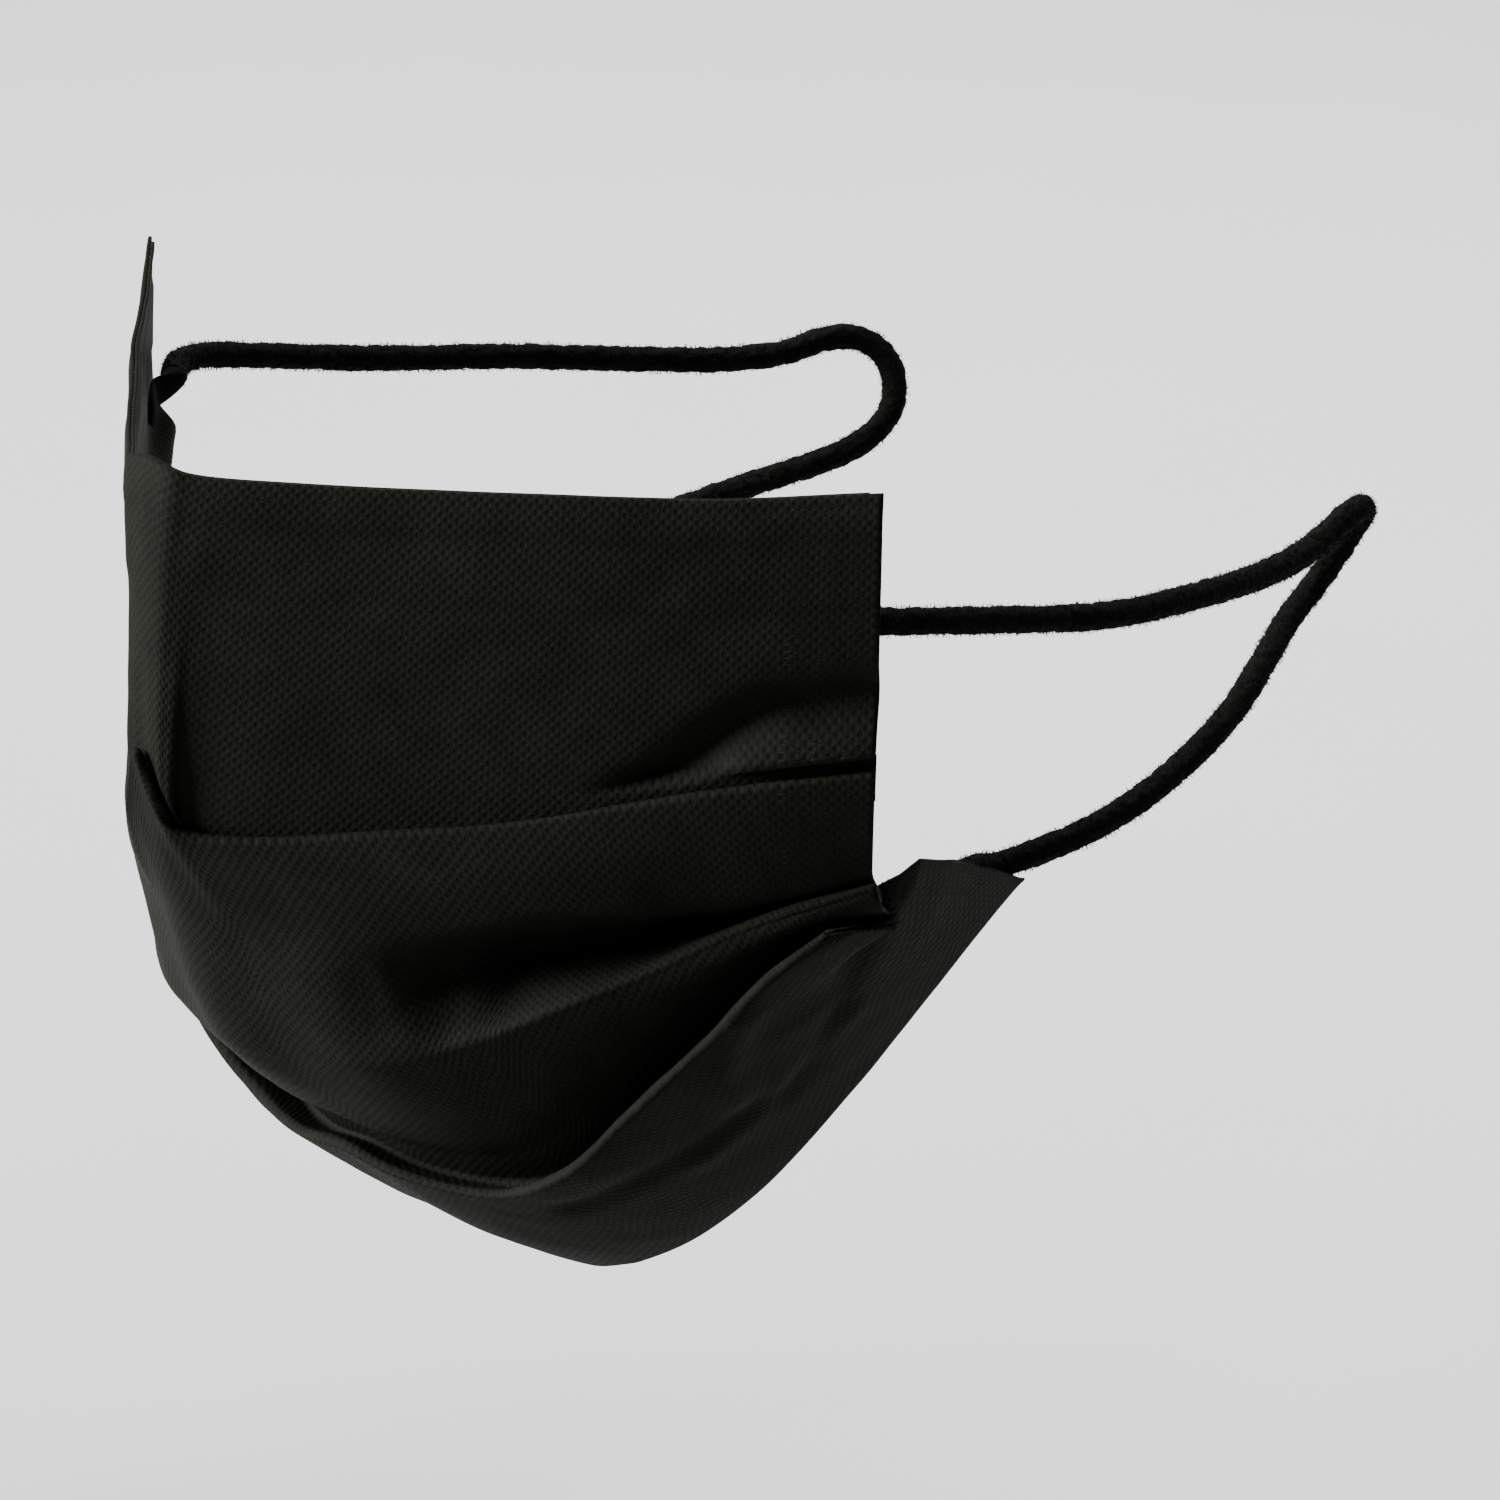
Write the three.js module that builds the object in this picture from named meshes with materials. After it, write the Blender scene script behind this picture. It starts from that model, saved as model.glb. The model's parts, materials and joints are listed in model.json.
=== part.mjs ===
// A pleated surgical mask in the shape that it takes on a face.
//
// Millimetres, +Z up. The wearer looks along -Y and the wearer's left is +X. The origin is on the
// bridge of the wearer's nose, where the pinched top edge sits.
//
// The tables are measured from the front of the nose ridge, and the finished mask is moved back by
// BRIDGE_DEPTH. One sheet makes the body. It is described by lines that run from side to side:
// the top edge, the lip of each pleat, the line where the panel above each lip turns in, and the
// bottom edge. A section down the sheet joins one point of each line, goes round the folds, and
// is given a wall.

import * as THREE from 'three';

// ---------------------------------------------------------------- driving dimensions

const HALF_WIDTH = 87.5;          // of the sheet, along the pleats
const WALL = 1.0;                 // outer layer, filter and lining together
const LAYER_PITCH = 1.35;         // from one folded layer to the next, middle to middle
const CLEARANCE = 0.3;            // between two pieces that touch on the real mask
const BRIDGE_DEPTH = 5;           // from the tables' zero back to the skin of the nose

const HEM_WALL = 1.0;
const TOP_HEM_DEPTH = 13;         // how far the turned-in strip reaches down from the top edge
const BOTTOM_HEM_DEPTH = 5;
const BOTTOM_HEM_END = 0.99;      // share of the chin panel's height where this hem ends
const TOP_HEM_SPAN = 0.97;        // share of the half width that this hem covers
const BOTTOM_HEM_SPAN = 0.9;

const WIRE_SPAN = 0.58;           // share of the half width that the nose wire covers
const WIRE_WALL = 0.6;
const WIRE_TOP = 3.5;             // from the top edge down to the wire
const WIRE_WIDTH = 3;
const WIRE_END_SLOPE = [0.015, 0.06];  // where the hem comes down beyond a wire's end, as a share
const WIRE_SIDE_SLOPE = [0.5, 2];      // and beside the wire, in millimetres

const CORD_DIAMETER = 3.2;
const CORD_SIDES = 8;
const CORD_STEP = 7;              // length of one step of an ear loop's tube
const WELD_LENGTH = 7;            // a loop's end, pressed flat and welded to the sheet
const WELD_WIDTH = 5;
const WELD_THICKNESS = 1.2;
const WELD_STEP = 0.02;           // share by which a weld looks round itself for the sheet's slope

// ---------------------------------------------------------------- lines across the mask
//
// Each table runs from the middle of the mask to its left side edge, a row for each bend of the
// line. x is towards the wearer's left, y towards the back of the head, z up.

const TOP_EDGE = [
  { x: 0, y: 2.4, z: -0.6 },
  { x: 4, y: 2.7, z: -1.3 },
  { x: 5.6, y: 3.9, z: -1.8 },
  { x: 15, y: 11.3, z: -2.2 },
  { x: 26, y: 20.2, z: -2.2 },
  { x: 38, y: 29.9, z: -1.9 },
  { x: 52, y: 42.1, z: -1.6 },
  { x: 66, y: 54.5, z: 0 },
];

const UPPER_LIP = [
  { x: 0, y: -0.8, z: -35.4 },
  { x: 0.9, y: -0.6, z: -37.4 },
  { x: 2.1, y: 0, z: -40.9 },
  { x: 3.5, y: 0.9, z: -43.6 },
  { x: 5.6, y: 2.8, z: -44.8 },
  { x: 11, y: 6.8, z: -45.0 },
  { x: 22, y: 15.9, z: -43.5 },
  { x: 33, y: 24.8, z: -41.5 },
  { x: 45, y: 34.6, z: -38.2 },
  { x: 57, y: 44.8, z: -35.0 },
  { x: 66, y: 53.4, z: -33.1 },
];

const MIDDLE_MOUTH = [
  { x: 0, y: 5.6, z: -58.0 },
  { x: 8, y: 8.6, z: -58.2 },
  { x: 19, y: 14.0, z: -57.4 },
  { x: 30, y: 22.6, z: -54.4 },
  { x: 38, y: 28.8, z: -51.8 },
  { x: 46, y: 36.2, z: -51.2 },
  { x: 55, y: 44.8, z: -50.2 },
  { x: 64.5, y: 54.5, z: -47.6 },
];

const MIDDLE_LIP = [
  { x: 0, y: 12.4, z: -74.0 },
  { x: 9, y: 15.2, z: -73.8 },
  { x: 19, y: 18.0, z: -73.0 },
  { x: 30, y: 25.0, z: -68.2 },
  { x: 38, y: 31.0, z: -63.3 },
  { x: 45, y: 37.8, z: -58.9 },
  { x: 53, y: 45.0, z: -53.2 },
  { x: 64.6, y: 54.8, z: -47.3 },
];

const LOWER_MOUTH = [
  { x: 0, y: 30.6, z: -88.4 },
  { x: 9, y: 31.6, z: -89.2 },
  { x: 21.4, y: 36.0, z: -88.4 },
  { x: 31.8, y: 37.6, z: -82.4 },
  { x: 39.4, y: 40.0, z: -73.8 },
  { x: 47.8, y: 45.2, z: -63.2 },
  { x: 54.6, y: 49.6, z: -56.0 },
  { x: 60, y: 54.6, z: -53.4 },
  { x: 63.5, y: 58.0, z: -52.3 },
];

const LOWER_LIP = [
  { x: 0, y: 28.6, z: -91.2 },
  { x: 9, y: 29.5, z: -92.3 },
  { x: 22, y: 33.4, z: -92.2 },
  { x: 34, y: 34.5, z: -86.2 },
  { x: 42, y: 36.7, z: -77.7 },
  { x: 51, y: 41.8, z: -66.6 },
  { x: 57, y: 45.5, z: -58.5 },
  { x: 61.6, y: 50.1, z: -52.8 },
];

const BOTTOM_EDGE = [
  { x: 0, y: 58.8, z: -111.0 },
  { x: 14, y: 57.8, z: -109.2 },
  { x: 25, y: 59.3, z: -103.9 },
  { x: 33, y: 62.6, z: -96.8 },
  { x: 40, y: 67.2, z: -87.4 },
  { x: 45.5, y: 73.1, z: -77.4 },
  { x: 50, y: 79.0, z: -67.4 },
  { x: 53.5, y: 86.4, z: -57.2 },
];

// The chin panel's side edge is pulled back by the ear loop and stands up in a wave. A row for
// each bend from the lower lip to the bottom corner; down is the share of the panel's height.
const CHIN_SIDE_EDGE = [
  { down: 0, x: 61.6, y: 50.1, z: -52.8 },
  { down: 0.2, x: 63.4, y: 58.9, z: -53.5 },
  { down: 0.36, x: 64.4, y: 61.4, z: -48.8 },
  { down: 0.46, x: 64.6, y: 61.6, z: -45.4 },
  { down: 0.65, x: 62.3, y: 68.8, z: -48.1 },
  { down: 0.82, x: 57.8, y: 78.4, z: -52.5 },
  { down: 1, x: 53.6, y: 87.4, z: -57.0 },
];
const CHIN_WAVE_START = 0.84;     // where the wave begins, as a share of the half width
const CHIN_START = 0.2;           // of its height, which sets the way it leaves the lower lip
const CHIN_FULLNESS = 1.2;        // how far the chin panel bows out between its edges
const UPPER_FULLNESS = 0.6;       // and the upper panel
const SPREAD_FULLNESS = 0.5;      // and a pleat that is pulled out flat
const SPREAD_PLACES = [0, 0.3, 0.55, 0.8, 1];  // where such a pleat's corners go, mouth to lip

// A soft dent in the upper panel, drawn from the side seal down towards the upper lip. Distances
// on the cloth: across from the middle of the mask, down from the top edge.
const CHEEK_DENT = { across: [85, 61], down: [27, 37], depth: 2.0, reach: 3.4 };

// ---------------------------------------------------------------- the pleats
//
// A row for each place across the half width. tuck is how far the hidden fold reaches down behind
// the lip, depth how far it goes in towards the face, and lap how many layer pitches lie between
// its two sides. spread is 1 where the pleat is pulled out flat, and 0 where it keeps its fold.

const PRESSED = LAYER_PITCH / 2;

const UPPER_FOLD = [
  { across: 0, tuck: 4, depth: PRESSED, lap: 1, spread: 0 },
  { across: 0.4, tuck: 4.5, depth: PRESSED, lap: 1, spread: 0 },
  { across: 0.8, tuck: 4.5, depth: PRESSED, lap: 1, spread: 0 },
  { across: 1, tuck: 4, depth: PRESSED, lap: 1, spread: 0 },
];

const MIDDLE_FOLD = [
  { across: 0, tuck: -3, depth: 1.5, lap: 1, spread: 1 },
  { across: 0.17, tuck: -2, depth: 2.5, lap: 1, spread: 1 },
  { across: 0.28, tuck: 0, depth: 4.5, lap: 1.2, spread: 0.7 },
  { across: 0.38, tuck: 2, depth: 6.5, lap: 1.6, spread: 0.25 },
  { across: 0.46, tuck: 4, depth: 7.5, lap: 1.8, spread: 0 },
  { across: 0.58, tuck: 5.5, depth: 7.5, lap: 1.8, spread: 0 },
  { across: 0.7, tuck: 6.5, depth: 6.5, lap: 1.5, spread: 0 },
  { across: 0.82, tuck: 7, depth: 3.6, lap: 1, spread: 0 },
  { across: 0.92, tuck: 6, depth: 1.6, lap: 1, spread: 0 },
  { across: 1, tuck: 4, depth: PRESSED, lap: 1, spread: 0 },
];

const LOWER_FOLD = [
  { across: 0, tuck: 4, depth: 0.9, lap: 1, spread: 0 },
  { across: 0.4, tuck: 5, depth: 1.2, lap: 1, spread: 0 },
  { across: 0.75, tuck: 6, depth: 1.4, lap: 1, spread: 0 },
  { across: 0.9, tuck: 4, depth: 1, lap: 1, spread: 0 },
  { across: 1, tuck: 1, depth: PRESSED, lap: 1, spread: 0 },
];

// How far each mouth line is set back behind its lip, in layers: two where the pleat lies flat.
const MIDDLE_SETBACK = [
  { across: 0, layers: 0 },
  { across: 0.3, layers: 0.1 },
  { across: 0.6, layers: 0.4 },
  { across: 0.8, layers: 2 },
];
const LOWER_SETBACK = [
  { across: 0.8, layers: 0.3 },
  { across: 0.92, layers: 1.2 },
  { across: 1, layers: 1.1 },
];
const UPPER_SETBACK = [{ across: 0, layers: 2 }];

// ---------------------------------------------------------------- the ear loops
//
// The left loop's route, from one weld to the other. The right loop is its mirror image.

const LOOP_ROUTE = [
  { x: 60.2, y: 52.9, z: -16.0 },
  { x: 64.7, y: 57.4, z: -16.1 },
  { x: 66.5, y: 62.5, z: -16.7 },
  { x: 66.5, y: 72.0, z: -18.7 },
  { x: 66.0, y: 82.5, z: -21.0 },
  { x: 64.8, y: 93.0, z: -22.9 },
  { x: 61.6, y: 107.0, z: -24.8 },
  { x: 56.4, y: 122.0, z: -27.0 },
  { x: 51.4, y: 133.5, z: -28.2 },
  { x: 48.4, y: 140.5, z: -28.0 },
  { x: 47.0, y: 145.2, z: -27.0 },
  { x: 45.4, y: 149.2, z: -27.2 },
  { x: 43.0, y: 151.6, z: -29.0 },
  { x: 40.8, y: 151.8, z: -32.2 },
  { x: 39.6, y: 150.0, z: -35.6 },
  { x: 39.8, y: 146.4, z: -38.4 },
  { x: 41.4, y: 141.4, z: -40.4 },
  { x: 45.6, y: 133.4, z: -42.8 },
  { x: 50.8, y: 122.6, z: -46.0 },
  { x: 54.4, y: 109.5, z: -49.6 },
  { x: 55.0, y: 99.0, z: -52.4 },
  { x: 53.0, y: 90.0, z: -54.6 },
  { x: 52.1, y: 84.6, z: -55.2 },
  { x: 53.9, y: 79.4, z: -53.8 },
  { x: 55.2, y: 76.0, z: -53.6 },
];
const UPPER_WELD = { across: 0.9, down: 16.9 };
const LOWER_WELD = { across: 0.93, down: 0.72 };

// ---------------------------------------------------------------- resolution

const HALF_STATIONS = 17;         // sections between the middle and a side edge
const HEM_HALF_STATIONS = 14;
const WIRE_HALF_STATIONS = 10;
const STATION_CROWDING = 0.45;    // sections stand closer at the nose and at the sides
const UPPER_PANEL_ROWS = 6;
const CHIN_PANEL_ROWS = 7;
const TOP_HEM_ROWS = [0.3, 2, 3.5, 6.5, 8.2, 10.5, TOP_HEM_DEPTH];
const LINE_DIVISIONS = 600;       // for places along a line to be even
const SMALL_STEP = 0.01;          // of a line, for finding which way the sheet faces
const MOUTH_ROUNDING = 1.4;       // length taken off the corner where a panel turns in
const SPREAD_ROUNDING = 2.4;      // and off the corners of a pleat that is pulled out flat
const CORNER_SHARE = 0.45;        // of the shorter side that a corner's rounding may take
const LEAST_ROUNDING = 0.5;       // share of its reach that it takes where both sides are short

// ---------------------------------------------------------------- small helpers

const vec = (row) => new THREE.Vector3(row.x, row.y, row.z);
const between = (a, b, share) => a.clone().lerp(b, share);
const direction = (a, b) => b.clone().sub(a).normalize();
const moved = (point, way, distance) => point.clone().addScaledVector(way, distance);
const arch = (share) => 4 * share * (1 - share);  // 0 at both ends and 1 in the middle

// Reads one column of a table at a place given by another, with a soft step between the rows.
function readTable(rows, key, at, column) {
  const next = rows.findIndex((row) => row[key] >= at);
  if (next === 0) return rows[0][column];
  if (next < 0) return rows[rows.length - 1][column];
  const low = rows[next - 1];
  const high = rows[next];
  const share = THREE.MathUtils.smoothstep(at, low[key], high[key]);
  return THREE.MathUtils.lerp(low[column], high[column], share);
}

// A smooth line across the whole mask through the rows of a half table. It is asked for a place
// from -1, the right side edge, to 1, the left one.
function lineAcross(rows) {
  const half = rows.map(vec);
  const mirrored = half.slice(1).reverse().map((p) => new THREE.Vector3(-p.x, p.y, p.z));
  const curve = new THREE.CatmullRomCurve3([...mirrored, ...half], false, 'centripetal');
  curve.arcLengthDivisions = LINE_DIVISIONS;
  return (across) => curve.getPointAt(THREE.MathUtils.clamp((across + 1) / 2, 0, 1));
}

const topEdge = lineAcross(TOP_EDGE);
const upperLip = lineAcross(UPPER_LIP);
const middleMouth = lineAcross(MIDDLE_MOUTH);
const middleLip = lineAcross(MIDDLE_LIP);
const lowerMouth = lineAcross(LOWER_MOUTH);
const lowerLip = lineAcross(LOWER_LIP);
const bottomEdge = lineAcross(BOTTOM_EDGE);

// The way out of the sheet at a line, where the sheet runs down from above to below.
function outward(line, across, above, below) {
  const before = line(Math.max(across - SMALL_STEP, -1));
  const towardsLeft = direction(before, line(Math.min(across + SMALL_STEP, 1)));
  return direction(above, below).cross(towardsLeft).normalize();
}

// ---------------------------------------------------------------- the panels

function setback(line, table, across, out) {
  const layers = readTable(table, 'across', Math.abs(across), 'layers');
  return moved(line(across), out, -layers * LAYER_PITCH);
}

function dentDepth(dent, across, down) {
  const start = new THREE.Vector2(dent.across[0], dent.down[0]);
  const run = new THREE.Vector2(dent.across[1], dent.down[1]).sub(start);
  const here = new THREE.Vector2(across, down).sub(start);
  const share = THREE.MathUtils.clamp(here.dot(run) / run.lengthSq(), 0, 1);
  const distance = here.addScaledVector(run, -share).length();
  return dent.depth * Math.exp(-((distance / dent.reach) ** 2));
}

// A point of the upper panel, down millimetres below the top edge.
function upperPanel(across, down) {
  const top = topEdge(across);
  const lip = upperLip(across);
  const out = outward(upperLip, across, lip, middleMouth(across));
  const mouth = setback(upperLip, UPPER_SETBACK, across, out);
  const height = top.distanceTo(mouth);
  const share = down / height;
  const bow = arch(share) * UPPER_FULLNESS;
  const dent = dentDepth(CHEEK_DENT, Math.abs(across) * HALF_WIDTH, down);
  return moved(between(top, mouth, share), out, bow - dent);
}

// A point of the chin panel, at a share of the way down from the lower lip to the bottom edge.
function chinPanel(across, down) {
  const lip = lowerLip(across);
  const bottom = bottomEdge(across);
  const out = outward(bottomEdge, across, lip, bottom);
  const plain = moved(between(lip, bottom, down), out, arch(down) * CHIN_FULLNESS);
  const wave = THREE.MathUtils.smoothstep(Math.abs(across), CHIN_WAVE_START, 1);
  const edge = ['x', 'y', 'z'].map((axis) => readTable(CHIN_SIDE_EDGE, 'down', down, axis));
  edge[0] *= Math.sign(across) || 1;
  return between(plain, new THREE.Vector3(...edge), wave);
}

// ---------------------------------------------------------------- one section of the sheet
//
// The section is a path of corners. reach is how far from a corner its rounding starts, and
// stops are the places on the rounding that become points of the section.

const ROUNDED = [0, 0.5, 1];
const FIRST_OF_PAIR = [0, 0.5];
const PLAIN = [0.5];

const corner = (point, reach, stops) => ({ point, reach, stops });

// The panel above turns in at its mouth, goes round the root of the hidden fold, and comes back
// out to the lip, where it turns down into the panel below.
function pleat(mouth, lip, facing, below, table, across) {
  const at = Math.abs(across);
  const tuck = readTable(table, 'across', at, 'tuck');
  const depth = readTable(table, 'across', at, 'depth');
  const layer = LAYER_PITCH * readTable(table, 'across', at, 'lap');
  const down = direction(lip, below);
  const out = moved(facing, down, -facing.dot(down)).normalize();
  const lipInside = moved(lip, out, -layer);
  const tuckWay = tuck > 0 ? down : direction(mouth, lip);
  const root = moved(moved(between(mouth, lip, 0.5), tuckWay, tuck), out, -depth);
  const leg = direction(between(mouth, lipInside, 0.5), root);
  const apart = moved(new THREE.Vector3(), out, leg.dot(down)).addScaledVector(down, -leg.dot(out));
  apart.normalize().multiplyScalar(layer / 2);
  const folded = [
    corner(mouth, MOUTH_ROUNDING, ROUNDED),
    corner(root.clone().sub(apart), layer / 2, FIRST_OF_PAIR),
    corner(root.clone().add(apart), layer / 2, ROUNDED),
    corner(lipInside, layer / 2, FIRST_OF_PAIR),
    corner(lip, layer / 2, ROUNDED),
  ];
  const spread = readTable(table, 'across', at, 'spread');
  return folded.map(({ point, reach, stops }, k) => {
    const share = SPREAD_PLACES[k];
    const wide = moved(between(mouth, lip, share), out, arch(share) * SPREAD_FULLNESS);
    return corner(between(point, wide, spread), reach + (SPREAD_ROUNDING - reach) * spread, stops);
  });
}

function sectionCorners(across) {
  const top = topEdge(across);
  const lip1 = upperLip(across);
  const lip2 = middleLip(across);
  const lip3 = lowerLip(across);
  const out1 = outward(upperLip, across, lip1, middleMouth(across));
  const out2 = outward(middleLip, across, lip2, lowerMouth(across));
  const chinStart = chinPanel(across, CHIN_START);
  const out3 = outward(lowerLip, across, lip3, chinStart);
  const mouth1 = setback(upperLip, UPPER_SETBACK, across, out1);
  const mouth2 = setback(middleMouth, MIDDLE_SETBACK, across, out2);
  const mouth3 = setback(lowerMouth, LOWER_SETBACK, across, out3);
  const upperHeight = top.distanceTo(mouth1);

  const path = [];
  for (let row = 0; row < UPPER_PANEL_ROWS; row += 1) {
    path.push(corner(upperPanel(across, (row / UPPER_PANEL_ROWS) * upperHeight), 0, PLAIN));
  }
  path.push(...pleat(mouth1, lip1, out1, mouth2, UPPER_FOLD, across));
  path.push(...pleat(mouth2, lip2, out2, mouth3, MIDDLE_FOLD, across));
  path.push(...pleat(mouth3, lip3, out3, chinStart, LOWER_FOLD, across));
  for (let row = 1; row <= CHIN_PANEL_ROWS; row += 1) {
    path.push(corner(chinPanel(across, row / CHIN_PANEL_ROWS), 0, PLAIN));
  }
  return path;
}

// Rounds one corner with a conic, which is a circle where both sides start equally far away.
function roundCorner(before, here, after, reach, stops) {
  const back = direction(here, before);
  const on = direction(here, after);
  const room = CORNER_SHARE * Math.min(here.distanceTo(before), here.distanceTo(after));
  const start = Math.min(reach, Math.max(room, reach * LEAST_ROUNDING));
  const from = moved(here, back, start);
  const to = moved(here, on, start);
  const weight = Math.sqrt(Math.max((1 - back.dot(on)) / 2, 0));
  return stops.map((t) => {
    const parts = [(1 - t) ** 2, 2 * weight * t * (1 - t), t ** 2];
    const total = parts[0] + parts[1] + parts[2];
    return new THREE.Vector3()
      .addScaledVector(from, parts[0] / total)
      .addScaledVector(here, parts[1] / total)
      .addScaledVector(to, parts[2] / total);
  });
}

function sectionPoints(across) {
  const path = sectionCorners(across);
  return path.flatMap((c, i) => {
    if (c.reach === 0) return [c.point];
    return roundCorner(path[i - 1].point, c.point, path[i + 1].point, c.reach, c.stops);
  });
}

// ---------------------------------------------------------------- a wall from a grid of points

function gridNormal(grid, i, j) {
  const across = direction(grid[Math.max(i - 1, 0)][j], grid[Math.min(i + 1, grid.length - 1)][j]);
  const row = grid[i];
  const down = direction(row[Math.max(j - 1, 0)], row[Math.min(j + 1, row.length - 1)]);
  return down.cross(across).normalize();
}

// Gives a grid of points, across by down, a wall that stands the same distance out and in.
function wallGeometry(grid, thickness) {
  const rings = grid.map((row, i) => {
    const outer = row.map((p, j) => moved(p, gridNormal(grid, i, j), thickness / 2));
    const inner = row.map((p, j) => moved(p, gridNormal(grid, i, j), -thickness / 2));
    return [...outer, ...inner.reverse()];
  });
  const size = rings[0].length;
  const index = [];
  const quad = (a, b, c, d) => index.push(a, b, c, a, c, d);
  for (let i = 0; i + 1 < rings.length; i += 1) {
    for (let k = 0; k < size; k += 1) {
      const next = (k + 1) % size;
      quad(i * size + k, i * size + next, (i + 1) * size + next, (i + 1) * size + k);
    }
  }
  const last = (rings.length - 1) * size;
  for (let k = 0; k + 1 < size / 2; k += 1) {
    const across = size - 1 - k;
    quad(k, across, across - 1, k + 1);
    quad(last + k, last + k + 1, last + across - 1, last + across);
  }
  const geometry = new THREE.BufferGeometry();
  const flat = rings.flat().flatMap((p) => [p.x, p.y, p.z]);
  geometry.setAttribute('position', new THREE.Float32BufferAttribute(flat, 3));
  geometry.setIndex(index);
  geometry.computeVertexNormals();
  return geometry;
}

// Places across the sheet from -span to span, closer at the nose and at the sides.
function stations(span, halfCount) {
  const places = [];
  for (let k = -halfCount; k <= halfCount; k += 1) {
    const s = k / halfCount;
    const crowded = s - (STATION_CROWDING * Math.sin(2 * Math.PI * s)) / (2 * Math.PI);
    places.push(crowded * span);
  }
  return places;
}

// ---------------------------------------------------------------- materials

const cloth = new THREE.MeshStandardMaterial({ color: 0x1b1a1a, roughness: 0.75, metalness: 0 });
const clothInside = new THREE.MeshStandardMaterial({ color: 0x222120, roughness: 0.8, metalness: 0 });
const elastic = new THREE.MeshStandardMaterial({ color: 0x121212, roughness: 0.9, metalness: 0 });
const wireMetal = new THREE.MeshStandardMaterial({ color: 0xb9bcbf, roughness: 0.4, metalness: 1 });

function piece(name, geometry, material) {
  const mesh = new THREE.Mesh(geometry, material.clone());
  mesh.name = name;
  return mesh;
}

// ---------------------------------------------------------------- the pieces

function maskBody() {
  const grid = stations(1, HALF_STATIONS).map(sectionPoints);
  return piece('mask_body', wallGeometry(grid, WALL), cloth);
}

// How deep the hem's middle lies under the sheet's middle. It steps over the nose wire.
const HEM_LIES = WALL / 2 + CLEARANCE + HEM_WALL / 2;
const WIRE_LIES = WALL / 2 + CLEARANCE + WIRE_WALL / 2;
const HEM_OVER_WIRE = WALL / 2 + CLEARANCE + WIRE_WALL + CLEARANCE + HEM_WALL / 2;

function wireCover(across, down) {
  const beyondEnd = Math.abs(across) - WIRE_SPAN;
  const beyondSide = Math.abs(down - WIRE_TOP - WIRE_WIDTH / 2) - WIRE_WIDTH / 2;
  const along = 1 - THREE.MathUtils.smoothstep(beyondEnd, ...WIRE_END_SLOPE);
  return along * (1 - THREE.MathUtils.smoothstep(beyondSide, ...WIRE_SIDE_SLOPE));
}

// A strip on the face side of the sheet, from the rows of its distances down and its places.
function innerStrip(name, places, rows, point, lies, thickness, material) {
  const surface = places.map((across) => rows.map((down) => point(across, down)));
  const grid = surface.map((row, i) => row.map((p, j) => (
    moved(p, gridNormal(surface, i, j), -lies(places[i], rows[j])))));
  return piece(name, wallGeometry(grid, thickness), material);
}

function topHem() {
  const lies = (across, down) => (
    THREE.MathUtils.lerp(HEM_LIES, HEM_OVER_WIRE, wireCover(across, down)));
  const places = stations(TOP_HEM_SPAN, HEM_HALF_STATIONS);
  return innerStrip('top_hem', places, TOP_HEM_ROWS, upperPanel, lies, HEM_WALL, clothInside);
}

function noseWire() {
  const rows = [WIRE_TOP, WIRE_TOP + WIRE_WIDTH];
  const places = stations(WIRE_SPAN, WIRE_HALF_STATIONS);
  return innerStrip('nose_wire', places, rows, upperPanel, () => WIRE_LIES, WIRE_WALL, wireMetal);
}

function bottomHem() {
  const height = lowerLip(0.5).distanceTo(bottomEdge(0.5));
  const share = BOTTOM_HEM_DEPTH / height;
  const rows = [1 - share, 1 - share / 2, BOTTOM_HEM_END];
  const places = stations(BOTTOM_HEM_SPAN, HEM_HALF_STATIONS);
  return innerStrip('bottom_hem', places, rows, chinPanel, () => HEM_LIES, HEM_WALL, clothInside);
}

// A loop's end pressed flat on the face side, its length pointing at the loop's cord.
function loopWeld(name, surface, place, loopEnd, side) {
  const across = place.across * side;
  const [before, after] = [across - WELD_STEP, across + WELD_STEP];
  const [above, below] = [place.down * (1 - WELD_STEP), place.down * (1 + WELD_STEP)];
  const middle = surface(across, place.down);
  const towardsLeft = direction(surface(before, place.down), surface(after, place.down));
  const down = direction(surface(across, above), surface(across, below));
  const out = down.clone().cross(towardsLeft).normalize();
  const aim = direction(middle, new THREE.Vector3(loopEnd.x * side, loopEnd.y, loopEnd.z));
  const along = moved(aim, out, -aim.dot(out)).normalize();
  const half = WELD_LENGTH / 2 - WELD_WIDTH / 2;
  const outline = new THREE.Shape();
  outline.absarc(half, 0, WELD_WIDTH / 2, -Math.PI / 2, Math.PI / 2, false);
  outline.absarc(-half, 0, WELD_WIDTH / 2, Math.PI / 2, (3 * Math.PI) / 2, false);
  const options = { depth: WELD_THICKNESS, bevelEnabled: false, curveSegments: 6 };
  const geometry = new THREE.ExtrudeGeometry(outline, options);
  const mesh = piece(name, geometry, elastic);
  mesh.setRotationFromMatrix(new THREE.Matrix4().makeBasis(along, out.clone().cross(along), out));
  mesh.position.copy(moved(middle, out, -(WALL / 2 + CLEARANCE + WELD_THICKNESS)));
  return mesh;
}

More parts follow.
